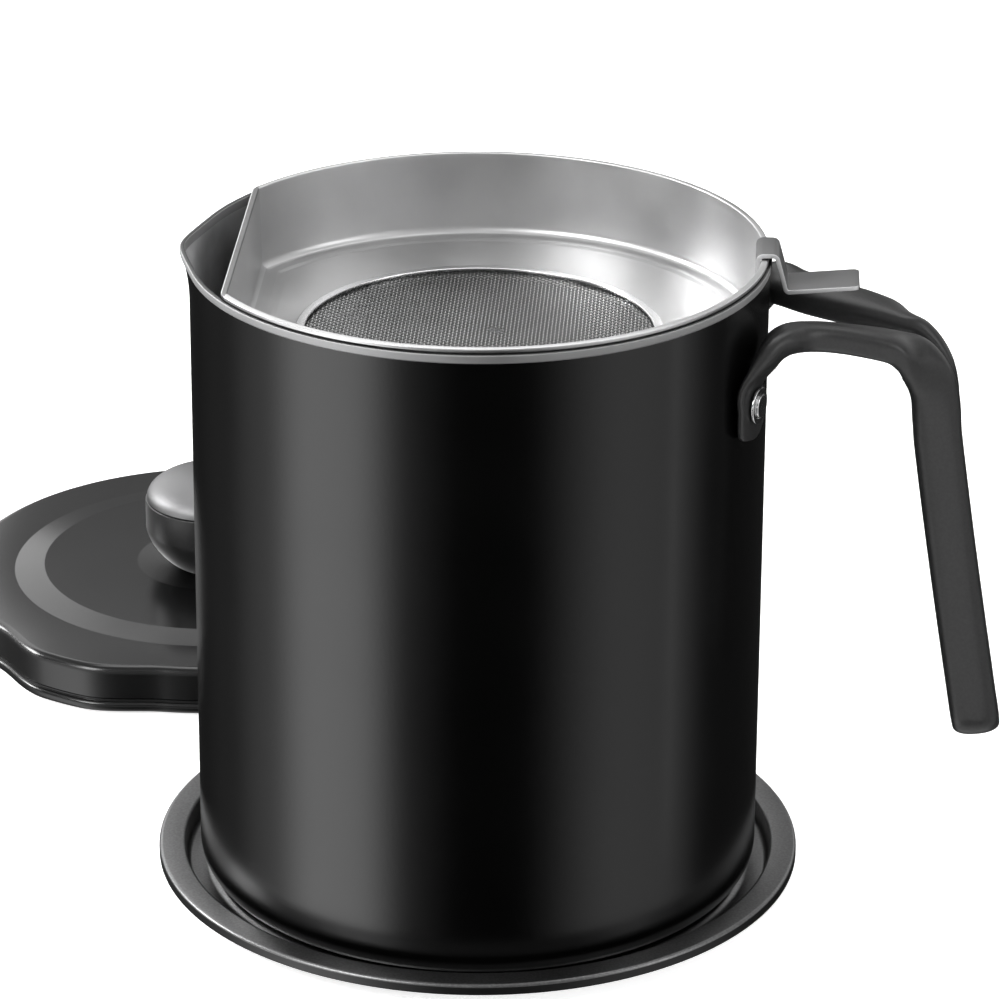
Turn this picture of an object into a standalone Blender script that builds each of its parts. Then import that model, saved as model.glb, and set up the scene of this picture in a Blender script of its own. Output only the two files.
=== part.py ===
"""Bacon grease container: a steel pot with a spout, a strainer basket, a bar handle,
a drip tray under it and its lid lying beside it.

Metres, +Z up. The origin is the centre of the tray's flat underside. The spout points
to -X and the handle to +X.
"""
import math

import bmesh
import bpy
from mathutils import Matrix, Vector

# Resolution of the round forms
ROUND_STEPS = 48
SPOUT_STEPS = 16
SMALL_ROUND_STEPS = 28
RIVET_STEPS = 20
FILLET_STEPS = 2
SECTION_STEPS = 14
BAR_STEPS = 2
SMOOTH_ANGLE = math.radians(32)

# Gap between pieces that touch, and the overrun of a cutter
SEAT_GAP = 0.0003
OVERRUN = 0.002
MERGE_DISTANCE = 0.00001

# Drip tray
TRAY_SHEET = 0.0006
TRAY_CLEARANCE = 0.0032
TRAY_WALL_FLARE = 0.0004
TRAY_FLANGE_WIDTH = 0.0062
TRAY_HEIGHT = 0.0060
TRAY_EDGE_DROP = 0.0025
TRAY_BASE_FILLET = 0.0014
TRAY_EDGE_FILLET = 0.0009
TRAY_BEAD_INSET = 0.0062
TRAY_BEAD_HALF_WIDTH = 0.0014
TRAY_BEAD_HEIGHT = 0.0008

# Pot shell with its folded rim and pouring beak
POT_RADIUS = 0.0650
POT_HEIGHT = 0.1508
POT_SHEET = 0.0007
POT_BASE_FILLET = 0.0070
HEM_OUT = 0.0004
HEM_HEIGHT = 0.0018
HEM_EDGE = 0.0005
BEAK_TANGENT_ANGLE = math.radians(17.3)
BEAK_TIP_ANGLE = math.radians(3.6)
BEAK_FADE_HEIGHT = 0.0085
BEAK_FADE_SHARES = ((1.0, 0.0), (0.66, 0.17), (0.30, 0.45), (0.09, 0.74))
SPOUT_HALF_ANGLE = math.radians(24)

# Strainer basket
BASKET_SHEET = 0.0006
BASKET_CLEARANCE = 0.0004
BASKET_DEPTH = 0.0199
BASKET_TAPER = 0.0002
BASKET_FILLET = 0.0026
BASKET_LIP = 0.0009
BASKET_LIP_EDGE = 0.0003
BASKET_CORNER = 0.0020
LIP_CORNER = 0.0050
SPOUT_GAP = 0.0105
CHORD_SLOPE = 0.0004
LEDGE_WIDTH = 0.0038
LEDGE_STEP = 0.0007
FLOOR_FALL = 0.0011
CHORD_STEPS = 6
CORNER_STEPS = 2

# Strainer mesh and the ring that holds its edge
MESH_INSET = 0.0240
MESH_THICKNESS = 0.0006
MESH_PITCH = 0.0055
MESH_STRAND = 0.0014
MESH_RIM = 0.0008
RING_WALL = 0.0004
RING_LIP = 0.0005
SEAT_LEDGE = 0.0022

# Lifting tab on the strainer
TAB_SHEET = 0.0010
TAB_WIDTH = 0.0115
TAB_INNER_LEG = 0.0062
TAB_RIM_CLEARANCE = 0.0006
TAB_DROP = 0.0085
TAB_SLANT = 0.0023
TAB_THUMB = 0.0167
TAB_THUMB_RISE = 0.0015
TAB_HOOK_FILLET = 0.0012
TAB_HEEL_FILLET = 0.0015
TAB_CORNER = 0.0015
TAB_CORNER_STEPS = 3

# Rivets
RIVET_ANGLE = math.radians(22.4)
RIVET_DROP = 0.0255
RIVET_SHANK = 0.0020
RIVET_HEAD = 0.0041
RIVET_RIM = 0.0006
RIVET_CROWN = 0.0011
RIVET_CROWN_RADIUS = 0.0026
RIVET_GROOVE = 0.0003
RIVET_TAIL = 0.0034
RIVET_TAIL_HEIGHT = 0.0014

# Handle: one bar bent into two arms and two legs, with flat ears on the pot
EAR_SHEET = 0.0025
EAR_HALF_WIDTH = 0.0068
EAR_BELOW = 0.0078
EAR_ABOVE = 0.0045
EAR_ROUND_SHARES = ((0.0, 0.38), (0.10, 0.70), (0.30, 0.93), (0.62, 1.0))
BAR_HALF_WIDTH = 0.0055
BAR_SQUARENESS = 2.5
# Places on the bar: out from the pot wall, half spread, drop from the rim, half thickness
SHOULDER = (-0.0003, 0.0234, 0.0157, 0.0024)
SHOULDER_TOP = (0.0021, 0.0200, 0.0138, 0.0030)
ARM_START = (0.0052, 0.0160, 0.0133, 0.0034)
ARM_RISE = (0.0095, 0.0133, 0.0138, 0.0034)
ARM_MIDDLE = (0.0154, 0.0115, 0.0147, 0.0034)
ARM_END = (0.0240, 0.0100, 0.0164, 0.0034)
BEND_START = (0.0285, 0.0092, 0.0178, 0.0033)
BEND_MIDDLE = (0.0335, 0.0079, 0.0214, 0.0031)
BEND_END = (0.0373, 0.0060, 0.0288, 0.0029)
LEG_START = (0.0388, 0.0048, 0.0417, 0.0028)
LEG_MIDDLE = (0.0434, 0.0039, 0.0717, 0.0028)
LEG_END = (0.0496, 0.0042, 0.1086, 0.0028)
TOE_SIDE = (0.0502, 0.0031, 0.1117, 0.0028)
TOE = (0.0504, 0.0, 0.1130, 0.0028)
# Directions of the bar's wide side at those places, out, sideways and up
SHOULDER_SHARES = (-0.26, 1.00, 0.26)
SHOULDER_TOP_SHARES = (0.10, 1.00, 0.36)
ARM_START_SHARES = (0.60, 1.00, 0.33)
ARM_RISE_SHARES = (0.45, 1.00, 0.30)
ARM_MIDDLE_SHARES = (0.22, 1.00, 0.27)
ARM_END_SHARES = (0.05, 1.00, 0.12)
BEND_START_SHARES = (-0.10, 1.00, -0.02)
BEND_MIDDLE_SHARES = (-0.60, 0.70, -0.50)
BEND_END_SHARES = (-1.00, 0.30, -0.22)
LEG_SHARES = (-1.00, 0.00, -0.13)

# Lid, lying on the table behind the tray
LID_DIRECTION = math.radians(118.86)
LID_DISTANCE = 0.0171
LID_TURN = math.radians(63)
LID_SHEET = 0.0006
LID_CLEARANCE = 0.0006
LID_HEIGHT = 0.0120
LID_EDGE_FILLET = 0.0014
LID_BEAD = 0.0026
LID_BEAD_OUT = 0.0010
LID_GROOVE = 0.0005
LID_RISE = 0.0012
LID_PLATEAU_RADIUS = 0.0447
LID_SLOPE_WIDTH = 0.0078
LID_DISH_RADIUS = 0.0205
LID_DISH_DEPTH = 0.0020
LID_BEAK_REACH = 0.0041
LID_BEAK_HALF_ANGLE = math.radians(22)
LID_BEAK_FLANK_SHARE = 0.8
LID_NOTCH_CLEARANCE = 0.0010

# Knob
KNOB_RADIUS = 0.0180
KNOB_FOOT_RADIUS = 0.0070
KNOB_BOWL_HEIGHT = 0.0118
KNOB_BOWL_FULLNESS = 1.3
KNOB_BAND_HEIGHT = 0.0076
KNOB_DOME_HEIGHT = 0.0072
KNOB_CHAMFER = 0.0004
KNOB_SEAM_INSET = 0.0003
SPIGOT_RADIUS = 0.0145
SPIGOT_DEPTH = 0.0012
SCREW_RADIUS = 0.0020
SCREW_HEAD_RADIUS = 0.0042
SCREW_HEAD_HEIGHT = 0.0024
SCREW_HEAD_CHAMFER = 0.0010
SCREW_GRIP = 0.0100
WASHER_RADIUS = 0.0058
WASHER_SHEET = 0.0008

# Radii, places and heights that the pieces share
TRAY_RECESS_RADIUS = POT_RADIUS + TRAY_CLEARANCE
TRAY_RADIUS = TRAY_RECESS_RADIUS + TRAY_WALL_FLARE + TRAY_FLANGE_WIDTH
CHORD_LIP_DISTANCE = POT_RADIUS - SPOUT_GAP
MESH_RADIUS = POT_RADIUS - MESH_INSET
POT_BASE_Z = TRAY_SHEET + SEAT_GAP
RIM_Z = POT_BASE_Z + POT_HEIGHT
HEM_RADIUS = POT_RADIUS + HEM_OUT
LIP_Z = RIM_Z + SEAT_GAP
LIP_TOP_Z = LIP_Z + BASKET_LIP
BASKET_FLOOR_Z = LIP_TOP_Z - BASKET_DEPTH
BASKET_RADIUS = POT_RADIUS - POT_SHEET - BASKET_CLEARANCE
RIVET_Z = RIM_Z - RIVET_DROP
EAR_INNER = POT_RADIUS + SEAT_GAP
MESH_HOLE_RADIUS = MESH_RADIUS + SEAT_GAP + RING_WALL - SEAT_LEDGE
RING_HEIGHT = MESH_THICKNESS + 2 * SEAT_GAP + 2 * RING_LIP
SEAT_RADIUS = MESH_RADIUS + SEAT_GAP + RING_WALL + SEAT_GAP
SEAT_Z = BASKET_FLOOR_Z - LEDGE_STEP - FLOOR_FALL - BASKET_SHEET - SEAT_GAP
RING_Z = SEAT_Z + SEAT_GAP
MESH_Z = RING_Z + RING_LIP + SEAT_GAP
LID_RADIUS = HEM_RADIUS + LID_CLEARANCE + LID_SHEET
LID_FROM_TRAY = TRAY_RADIUS + LID_DISTANCE + LID_RADIUS + LID_BEAD_OUT
LID_TOP_Z = LID_HEIGHT + LID_RISE
DISH_Z = LID_TOP_Z - LID_DISH_DEPTH
KNOB_Z = DISH_Z + SEAT_GAP
KNOB_SEAM_Z = KNOB_Z + KNOB_BOWL_HEIGHT + KNOB_BAND_HEIGHT


def clear_scene():
    """Remove every object."""
    for thing in list(bpy.data.objects):
        bpy.data.objects.remove(thing, do_unlink=True)


def make_material(name, color, roughness, metallic):
    """A Principled material of one colour."""
    material = bpy.data.materials.new(name)
    material.use_nodes = True
    shader = material.node_tree.nodes["Principled BSDF"]
    shader.inputs["Base Color"].default_value = (*color, 1.0)
    shader.inputs["Roughness"].default_value = roughness
    shader.inputs["Metallic"].default_value = metallic
    material.diffuse_color = (*color, 1.0)
    return material


def make_anchor(name, location, turn=0.0, parent=None):
    """An empty on the line along which its pieces lift."""
    anchor = bpy.data.objects.new(name, None)
    bpy.context.collection.objects.link(anchor)
    anchor.location = location
    anchor.rotation_euler = (0, 0, turn)
    anchor.parent = parent
    return anchor


def make_object(name, bm, material, parent):
    """An object from a finished mesh, smooth where its faces meet at a low angle."""
    bmesh.ops.remove_doubles(bm, verts=bm.verts, dist=MERGE_DISTANCE)
    bmesh.ops.recalc_face_normals(bm, faces=bm.faces)
    mesh = bpy.data.meshes.new(name)
    bm.to_mesh(mesh)
    bm.free()
    mesh.shade_smooth()
    mesh.set_sharp_from_angle(angle=SMOOTH_ANGLE)
    if material:
        mesh.materials.append(material)
    thing = bpy.data.objects.new(name, mesh)
    bpy.context.collection.objects.link(thing)
    thing.parent = parent
    return thing


def make_cutter(name, bm, parent):
    """A hidden object that only cuts others."""
    cutter = make_object(name, bm, None, parent)
    cutter.hide_render = True
    cutter.display_type = "WIRE"
    return cutter


def cut(thing, cutter, operation="DIFFERENCE"):
    """Cut an object with another."""
    boolean = thing.modifiers.new(cutter.name, "BOOLEAN")
    boolean.operation = operation
    boolean.solver = "EXACT"
    boolean.object = cutter


def rounded_path(corners):
    """Points and left normals along (across, up, fillet) corners, with arcs at the fillets."""
    spots = [Vector(corner[:2]) for corner in corners]
    runs = [(after - before).normalized() for before, after in zip(spots, spots[1:])]
    lefts = [Vector((-run.y, run.x)) for run in runs]
    path = [(spots[0], lefts[0])]
    for index in range(1, len(spots) - 1):
        spot, fillet = spots[index], corners[index][2]
        before, after = lefts[index - 1], lefts[index]
        turn = math.atan2(before.cross(after), before.dot(after))
        if not fillet:
            path.append((spot, (before + after) / (1 + before.dot(after))))
            continue
        side = math.copysign(1, turn)
        reach = fillet * math.tan(abs(turn) / 2)
        centre = spot - runs[index - 1] * reach + before * side * fillet
        for step in range(FILLET_STEPS + 1):
            normal = before.copy()
            normal.rotate(Matrix.Rotation(turn * step / FILLET_STEPS, 2))
            path.append((centre - normal * side * fillet, normal))
    path.append((spots[-1], lefts[-1]))
    return path


def sheet_outline(corners, thickness):
    """Closed outline of a sheet along a path, thickened to the path's left."""
    path = rounded_path(corners)
    return [point for point, _ in path] + [point + normal * thickness for point, normal in reversed(path)]


def turned(outline, steps=ROUND_STEPS):
    """Surface of a closed (radius, height) outline turned about Z."""
    bm = bmesh.new()
    verts = [bm.verts.new((radius, 0, height)) for radius, height in outline]
    pairs = list(zip(verts, verts[1:] + verts[:1]))
    edges = [bm.edges.new(pair) for pair in pairs if pair[0].co.x + pair[1].co.x > 0]
    bmesh.ops.spin(bm, geom=verts + edges, axis=(0, 0, 1), cent=(0, 0, 0),
                   angle=2 * math.pi, steps=steps, use_merge=True)
    return bm


def skinned(rings, closed=False):
    """Surface through rings of equally many points; it joins up or is capped at both ends."""
    bm = bmesh.new()
    loops = [[bm.verts.new(point) for point in ring] for ring in rings]
    pairs = list(zip(loops, loops[1:]))
    if closed:
        pairs.append((loops[-1], loops[0]))
    else:
        bm.faces.new(loops[0])
        bm.faces.new(loops[-1])
    count = len(rings[0])
    for first, second in pairs:
        for index in range(count):
            after = (index + 1) % count
            bm.faces.new((first[index], first[after], second[after], second[index]))
    return bm


def ease(share):
    """Smooth step from 0 to 1."""
    return share * share * (3 - 2 * share)


def spout_angles():
    """Angles round a piece with a beak at -X, closer together at the beak."""
    fine = [math.pi + SPOUT_HALF_ANGLE * (2 * step / SPOUT_STEPS - 1) for step in range(SPOUT_STEPS)]
    rest = 2 * math.pi - 2 * SPOUT_HALF_ANGLE
    coarse = [math.pi + SPOUT_HALF_ANGLE + rest * step / ROUND_STEPS for step in range(ROUND_STEPS)]
    return fine + coarse


def polar_ring(angles, radius_at, height):
    """Ring of points at a radius that depends on the angle."""
    return [(radius_at(a) * math.cos(a), radius_at(a) * math.sin(a), height) for a in angles]


def from_spout(angle):
    """Angle away from -X."""
    return abs(math.remainder(angle - math.pi, 2 * math.pi))


def beak(angle):
    """How far the pot's rim stands out: two straight tangent sides with a rounded tip."""
    away = math.hypot(from_spout(angle), BEAK_TIP_ANGLE)
    if away >= BEAK_TANGENT_ANGLE:
        return 0.0
    return HEM_RADIUS / math.cos(BEAK_TANGENT_ANGLE - away) - HEM_RADIUS


def lid_beak(angle):
    """How far the lid's edge stands out: a lobe that leaves the circle in a hollow curve."""
    away = from_spout(angle) / LID_BEAK_HALF_ANGLE
    if away >= 1:
        return 0.0
    return LID_BEAK_REACH * ease(min((1 - away) / LID_BEAK_FLANK_SHARE, 1))


def build_tray(material):
    """Pressed tray: flat floor, low bead that centres the pot, upright wall and flat flange."""
    bead = POT_RADIUS - TRAY_BEAD_INSET / 2
    flange = TRAY_RECESS_RADIUS + TRAY_WALL_FLARE
    corners = [
        (0, TRAY_SHEET, 0),
        (bead - TRAY_BEAD_HALF_WIDTH, TRAY_SHEET, 0),
        (bead, TRAY_SHEET + TRAY_BEAD_HEIGHT, 0),
        (bead + TRAY_BEAD_HALF_WIDTH, TRAY_SHEET, 0),
        (TRAY_RECESS_RADIUS, TRAY_SHEET, TRAY_BASE_FILLET),
        (flange, TRAY_HEIGHT, TRAY_EDGE_FILLET),
        (TRAY_RADIUS, TRAY_HEIGHT, TRAY_EDGE_FILLET),
        (TRAY_RADIUS, TRAY_HEIGHT - TRAY_EDGE_DROP, 0),
    ]
    make_object("tray", turned(sheet_outline(corners, -TRAY_SHEET)), material, None)


def pot_profile():
    """Outer and inner (radius, height, share of the beak) places of the pot's wall."""
    fade_z = RIM_Z - HEM_HEIGHT - HEM_OUT
    wall = [(POT_RADIUS, fade_z - BEAK_FADE_HEIGHT * down, share) for share, down in BEAK_FADE_SHARES]
    wall.append((POT_RADIUS, fade_z - BEAK_FADE_HEIGHT, 0))
    hem = [
        (HEM_RADIUS, RIM_Z - HEM_HEIGHT, 1),
        (HEM_RADIUS, RIM_Z - HEM_EDGE, 1),
        (HEM_RADIUS - HEM_EDGE, RIM_Z, 1),
        (POT_RADIUS - POT_SHEET + HEM_EDGE / 2, RIM_Z, 1),
        (POT_RADIUS - POT_SHEET, RIM_Z - HEM_EDGE, 1),
    ]
    inner_wall = [(radius - POT_SHEET, height, share) for radius, height, share in wall]
    return wall[::-1] + hem + inner_wall


def pot_base(sheet, steps):
    """Rings of (radius, height, share) from the pot's flat bottom round its lower edge."""
    fillet = POT_BASE_FILLET - sheet
    centre = POT_RADIUS - POT_BASE_FILLET
    floor = POT_BASE_Z + sheet
    turns = [math.pi / 2 * step / steps for step in range(steps + 1)]
    return [(centre + fillet * math.sin(t), floor + fillet * (1 - math.cos(t)), 0) for t in turns]


def build_pot(material, parent):
    """Straight pot drawn from sheet, with a folded rim pulled out into a beak."""
    steps = 2 * FILLET_STEPS
    profile = pot_base(0, steps) + pot_profile() + pot_base(POT_SHEET, steps)[::-1]
    angles = spout_angles()
    rings = []
    for radius, height, share in profile:
        rings.append(polar_ring(angles, lambda a: radius + share * beak(a), height))
    return make_object("pot_shell", skinned(rings), material, parent)


def along_radius(angle):
    """Turn a piece made along Z so that it lies along a level radius at this angle."""
    return Matrix.Translation((0, 0, RIVET_Z)) @ Matrix.Rotation(angle, 4, "Z") @ Matrix.Rotation(
        math.pi / 2, 4, "Y")


def build_rivet(name, side, material, parent):
    """Rivet with a stepped head outside the ear and a peened tail inside the pot."""
    wall_bow = POT_RADIUS - math.sqrt(POT_RADIUS ** 2 - RIVET_TAIL ** 2)
    tail = POT_RADIUS - POT_SHEET - SEAT_GAP - wall_bow
    face = EAR_INNER + EAR_SHEET + SEAT_GAP
    outline = [
        (0, tail - RIVET_TAIL_HEIGHT),
        (RIVET_TAIL / 2, tail - RIVET_TAIL_HEIGHT + RIVET_GROOVE / 2),
        (RIVET_TAIL, tail - RIVET_TAIL_HEIGHT / 2),
        (RIVET_TAIL, tail),
        (RIVET_SHANK, tail),
        (RIVET_SHANK, face),
        (RIVET_HEAD, face),
        (RIVET_HEAD, face + RIVET_RIM / 2),
        (RIVET_HEAD - RIVET_GROOVE, face + RIVET_RIM),
        (RIVET_CROWN_RADIUS + RIVET_GROOVE, face + RIVET_RIM),
        (RIVET_CROWN_RADIUS, face + RIVET_RIM - RIVET_GROOVE),
        (RIVET_CROWN_RADIUS, face + RIVET_RIM + RIVET_GROOVE / 2),
        (RIVET_CROWN_RADIUS / 2, face + RIVET_CROWN),
        (0, face + RIVET_CROWN),
    ]
    rivet = make_object(name, turned(outline, RIVET_STEPS), material, parent)
    rivet.matrix_local = along_radius(side * RIVET_ANGLE)


def build_rivet_cutter(name, side, parent):
    """Drill for the rivet's hole through the pot's wall and the ear."""
    radius = RIVET_SHANK + SEAT_GAP
    start = POT_RADIUS - POT_SHEET - OVERRUN
    end = EAR_INNER + EAR_SHEET + OVERRUN
    outline = [(0, start), (radius, start), (radius, end), (0, end)]
    cutter = make_cutter(name, turned(outline, RIVET_STEPS), parent)
    cutter.matrix_local = along_radius(side * RIVET_ANGLE)
    return cutter


def bar_station(place, wide_shares):
    """Station of the +Y bar from an (out, spread, drop, half thickness) place."""
    out, spread, drop, thickness = place
    centre = Vector((POT_RADIUS + out, spread, RIM_Z - drop))
    return centre, Vector(wide_shares), BAR_HALF_WIDTH, thickness


def bar_stations():
    """Centre, wide direction, half width and half thickness along the +Y bar, ear first."""
    outward = Vector((math.cos(RIVET_ANGLE), math.sin(RIVET_ANGLE), 0))
    tangent = Vector((-math.sin(RIVET_ANGLE), math.cos(RIVET_ANGLE), 0))
    rivet = outward * (EAR_INNER + EAR_SHEET / 2) + Vector((0, 0, RIVET_Z))
    half = EAR_SHEET / 2
    stations = []
    for up_share, width_share in EAR_ROUND_SHARES:
        centre = rivet - Vector((0, 0, EAR_BELOW * (1 - up_share)))
        stations.append((centre, tangent, EAR_HALF_WIDTH * width_share, half))
    stations.append((rivet, tangent, EAR_HALF_WIDTH, half))
    stations.append((rivet + Vector((0, 0, EAR_ABOVE)), tangent, EAR_HALF_WIDTH, half))
    stations += [
        bar_station(SHOULDER, SHOULDER_SHARES),
        bar_station(SHOULDER_TOP, SHOULDER_TOP_SHARES),
        bar_station(ARM_START, ARM_START_SHARES),
        bar_station(ARM_RISE, ARM_RISE_SHARES),
        bar_station(ARM_MIDDLE, ARM_MIDDLE_SHARES),
        bar_station(ARM_END, ARM_END_SHARES),
        bar_station(BEND_START, BEND_START_SHARES),
        bar_station(BEND_MIDDLE, BEND_MIDDLE_SHARES),
        bar_station(BEND_END, BEND_END_SHARES),
    ]
    stations += [bar_station(place, LEG_SHARES) for place in (LEG_START, LEG_MIDDLE, LEG_END, TOE_SIDE, TOE)]
    return stations


def mirrored(station):
    """The same station on the -Y bar."""
    centre, wide, width, thickness = station
    flip = Vector((1, -1, 1))
    return centre * flip, wide * flip, width, thickness


def slope(rows, index, column):
    """How fast a column of the rows changes along the bar at this row."""
    before, here, after = rows[max(index - 1, 0)], rows[index], rows[min(index + 1, len(rows) - 1)]
    return (after[column] - before[column]) / ((here[0] - before[0]).length + (after[0] - here[0]).length)


def between(rows, index, column, share):
    """Value of a column at a share of the smooth curve from this row to the next."""
    start, end = rows[index], rows[index + 1]
    span = (end[0] - start[0]).length
    square, cube = share ** 2, share ** 3
    return (start[column] * (2 * cube - 3 * square + 1) + end[column] * (3 * square - 2 * cube)
            + slope(rows, index, column) * span * (cube - 2 * square + share)
            + slope(rows, index + 1, column) * span * (cube - square))


def section(centre, along, wide, width, thickness):
    """Rounded flat section of the bar, square to its path."""
    side = (wide - along * wide.dot(along)).normalized()
    up = along.cross(side)
    power = 2 / BAR_SQUARENESS
    ring = []
    for step in range(SECTION_STEPS):
        turn = 2 * math.pi * step / SECTION_STEPS
        across, over = math.cos(turn), math.sin(turn)
        ring.append(centre + side * width * math.copysign(abs(across) ** power, across)
                    + up * thickness * math.copysign(abs(over) ** power, over))
    return ring


def build_handle(material, parent):
    """One twisted bar: ear, arm and leg on each side, joined in a tight bend at the toe."""
    half = bar_stations()
    stations = half + [mirrored(station) for station in half[-2::-1]]
    flip_from = len(half)
    rows = []
    for index, station in enumerate(stations):
        centre, wide, width, thickness = station
        if index >= flip_from:
            wide = -wide if wide.dot(rows[-1][1]) < 0 else wide
        rows.append((centre, wide.normalized(), width, thickness))
    smooth = []
    for index in range(len(rows) - 1):
        for step in range(BAR_STEPS):
            smooth.append([between(rows, index, column, step / BAR_STEPS) for column in range(4)])
    smooth.append(rows[-1])
    rings = []
    for index, (centre, wide, width, thickness) in enumerate(smooth):
        ahead = smooth[min(index + 1, len(smooth) - 1)][0]
        behind = smooth[max(index - 1, 0)][0]
        rings.append(section(centre, (ahead - behind).normalized(), wide, width, thickness))
    return make_object("handle_bar", skinned(rings), material, parent)


def d_ring(radius, chord, corner, height):
    """Ring of a circle cut off by a straight chord at -X, with rounded corners."""
    corner_x = corner - chord
    corner_y = math.sqrt((radius - corner) ** 2 - corner_x ** 2)
    end = math.atan2(-corner_y, corner_x)
    ring = [(-chord, corner_y * (1 - 2 * step / CHORD_STEPS), height) for step in range(CHORD_STEPS)]
    for step in range(CORNER_STEPS):
        turn = -math.pi + (end + math.pi) * step / CORNER_STEPS
        ring.append((corner_x + corner * math.cos(turn), -corner_y + corner * math.sin(turn), height))
    for step in range(ROUND_STEPS):
        turn = end - 2 * end * step / ROUND_STEPS
        ring.append((radius * math.cos(turn), radius * math.sin(turn), height))
    for step in range(CORNER_STEPS):
        turn = -end + (math.pi + end) * step / CORNER_STEPS
        ring.append((corner_x + corner * math.cos(turn), corner_y + corner * math.sin(turn), height))
    return ring


def round_ring(pattern, radius, height):
    """Circle with a point in the direction of each point of another ring."""
    return [(radius * x / math.hypot(x, y), radius * y / math.hypot(x, y), height) for x, y, _ in pattern]


def build_basket(material, parent):
    """Strainer basket: lip on the pot's rim, straight wall on the spout side, stepped floor."""
    sheet, fillet = BASKET_SHEET, BASKET_FILLET
    lip_out = HEM_RADIUS - BASKET_LIP_EDGE * 2
    wall_chord = CHORD_LIP_DISTANCE - (lip_out - BASKET_RADIUS)

    def ring(inset, height, slope_share=0.0, corner=BASKET_CORNER):
        taper = BASKET_TAPER * slope_share
        slope = CHORD_SLOPE * slope_share
        return d_ring(BASKET_RADIUS - taper - inset, wall_chord - slope - inset,
                      max(corner - inset, corner / 2), height)

    floor = BASKET_FLOOR_Z - sheet
    low = BASKET_FLOOR_Z - LEDGE_STEP
    flat = fillet - sheet
    bend = fillet * (1 - math.sqrt(0.5))
    inner_bend = flat * (1 - math.sqrt(0.5))
    lip = BASKET_RADIUS - lip_out
    edge = BASKET_LIP_EDGE
    pattern = ring(fillet + LEDGE_WIDTH, low, 1)
    rings = [
        ring(sheet - edge, LIP_TOP_Z),
        ring(lip + edge, LIP_TOP_Z, corner=LIP_CORNER),
        ring(lip, LIP_TOP_Z - edge, corner=LIP_CORNER),
        ring(lip, LIP_Z, corner=LIP_CORNER),
        ring(0, LIP_Z),
        ring(0, floor + fillet, 1),
        ring(bend, floor + bend, 1),
        ring(fillet, floor, 1),
        ring(LEDGE_WIDTH, floor, 1),
        ring(LEDGE_WIDTH + LEDGE_STEP, low - sheet, 1),
        round_ring(pattern, SEAT_RADIUS + sheet, SEAT_Z + SEAT_GAP),
        round_ring(pattern, SEAT_RADIUS + sheet, SEAT_Z - sheet),
        round_ring(pattern, MESH_HOLE_RADIUS, SEAT_Z - sheet),
        round_ring(pattern, MESH_HOLE_RADIUS, SEAT_Z),
        round_ring(pattern, SEAT_RADIUS, SEAT_Z),
        round_ring(pattern, SEAT_RADIUS, low - FLOOR_FALL),
        ring(LEDGE_WIDTH + LEDGE_STEP + sheet, low, 1),
        ring(LEDGE_WIDTH + sheet, BASKET_FLOOR_Z, 1),
        ring(sheet + flat, BASKET_FLOOR_Z, 1),
        ring(sheet + inner_bend, BASKET_FLOOR_Z + inner_bend, 1),
        ring(sheet, BASKET_FLOOR_Z + flat, 1),
        ring(sheet, LIP_TOP_Z - edge),
    ]
    make_object("strainer_basket", skinned(rings, closed=True), material, parent)


def build_mesh_ring(material, parent):
    """Ring in the basket's seat with a slot that grips the mesh edge."""
    outer = SEAT_RADIUS - SEAT_GAP
    inner = MESH_HOLE_RADIUS
    slot = outer - RING_WALL
    outline = [
        (inner, RING_Z),
        (outer, RING_Z),
        (outer, RING_Z + RING_HEIGHT),
        (inner, RING_Z + RING_HEIGHT),
        (inner, RING_Z + RING_HEIGHT - RING_LIP),
        (slot, RING_Z + RING_HEIGHT - RING_LIP),
        (slot, RING_Z + RING_LIP),
        (inner, RING_Z + RING_LIP),
    ]
    make_object("mesh_ring", turned(outline), material, parent)


def disc(radius, start, end, steps=ROUND_STEPS):
    """Solid disc about Z."""
    return turned([(0, start), (radius, start), (radius, end), (0, end)], steps)


def build_mesh(material, parent):
    """Flat strainer mesh: crossed strands inside a plain rim."""
    net = make_object("strainer_mesh", disc(MESH_RADIUS, MESH_Z, MESH_Z + MESH_THICKNESS), material, parent)
    half_gap = (MESH_PITCH - MESH_STRAND) / 2
    open_radius = MESH_RADIUS - MESH_RIM
    count = math.ceil(open_radius / MESH_PITCH)
    gaps = bmesh.new()
    for column in range(-count, count + 1):
        for row in range(-count, count + 1):
            near_x = max(abs(column) * MESH_PITCH - half_gap, 0)
            near_y = max(abs(row) * MESH_PITCH - half_gap, 0)
            if math.hypot(near_x, near_y) > open_radius - half_gap:
                continue
            centre = (column * MESH_PITCH, row * MESH_PITCH, MESH_Z + MESH_THICKNESS / 2)
            size = Matrix.Diagonal((2 * half_gap, 2 * half_gap, MESH_THICKNESS + 2 * OVERRUN, 1))
            bmesh.ops.create_cube(gaps, size=1, matrix=Matrix.Translation(centre) @ size)
    gap_blocks = make_cutter("mesh_gap_blocks", gaps, parent)
    inside = make_cutter("mesh_inside", disc(open_radius, MESH_Z - OVERRUN / 2,
                                             MESH_Z + MESH_THICKNESS + OVERRUN / 2), parent)
    cut(gap_blocks, inside, "INTERSECT")
    cut(net, gap_blocks)


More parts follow.
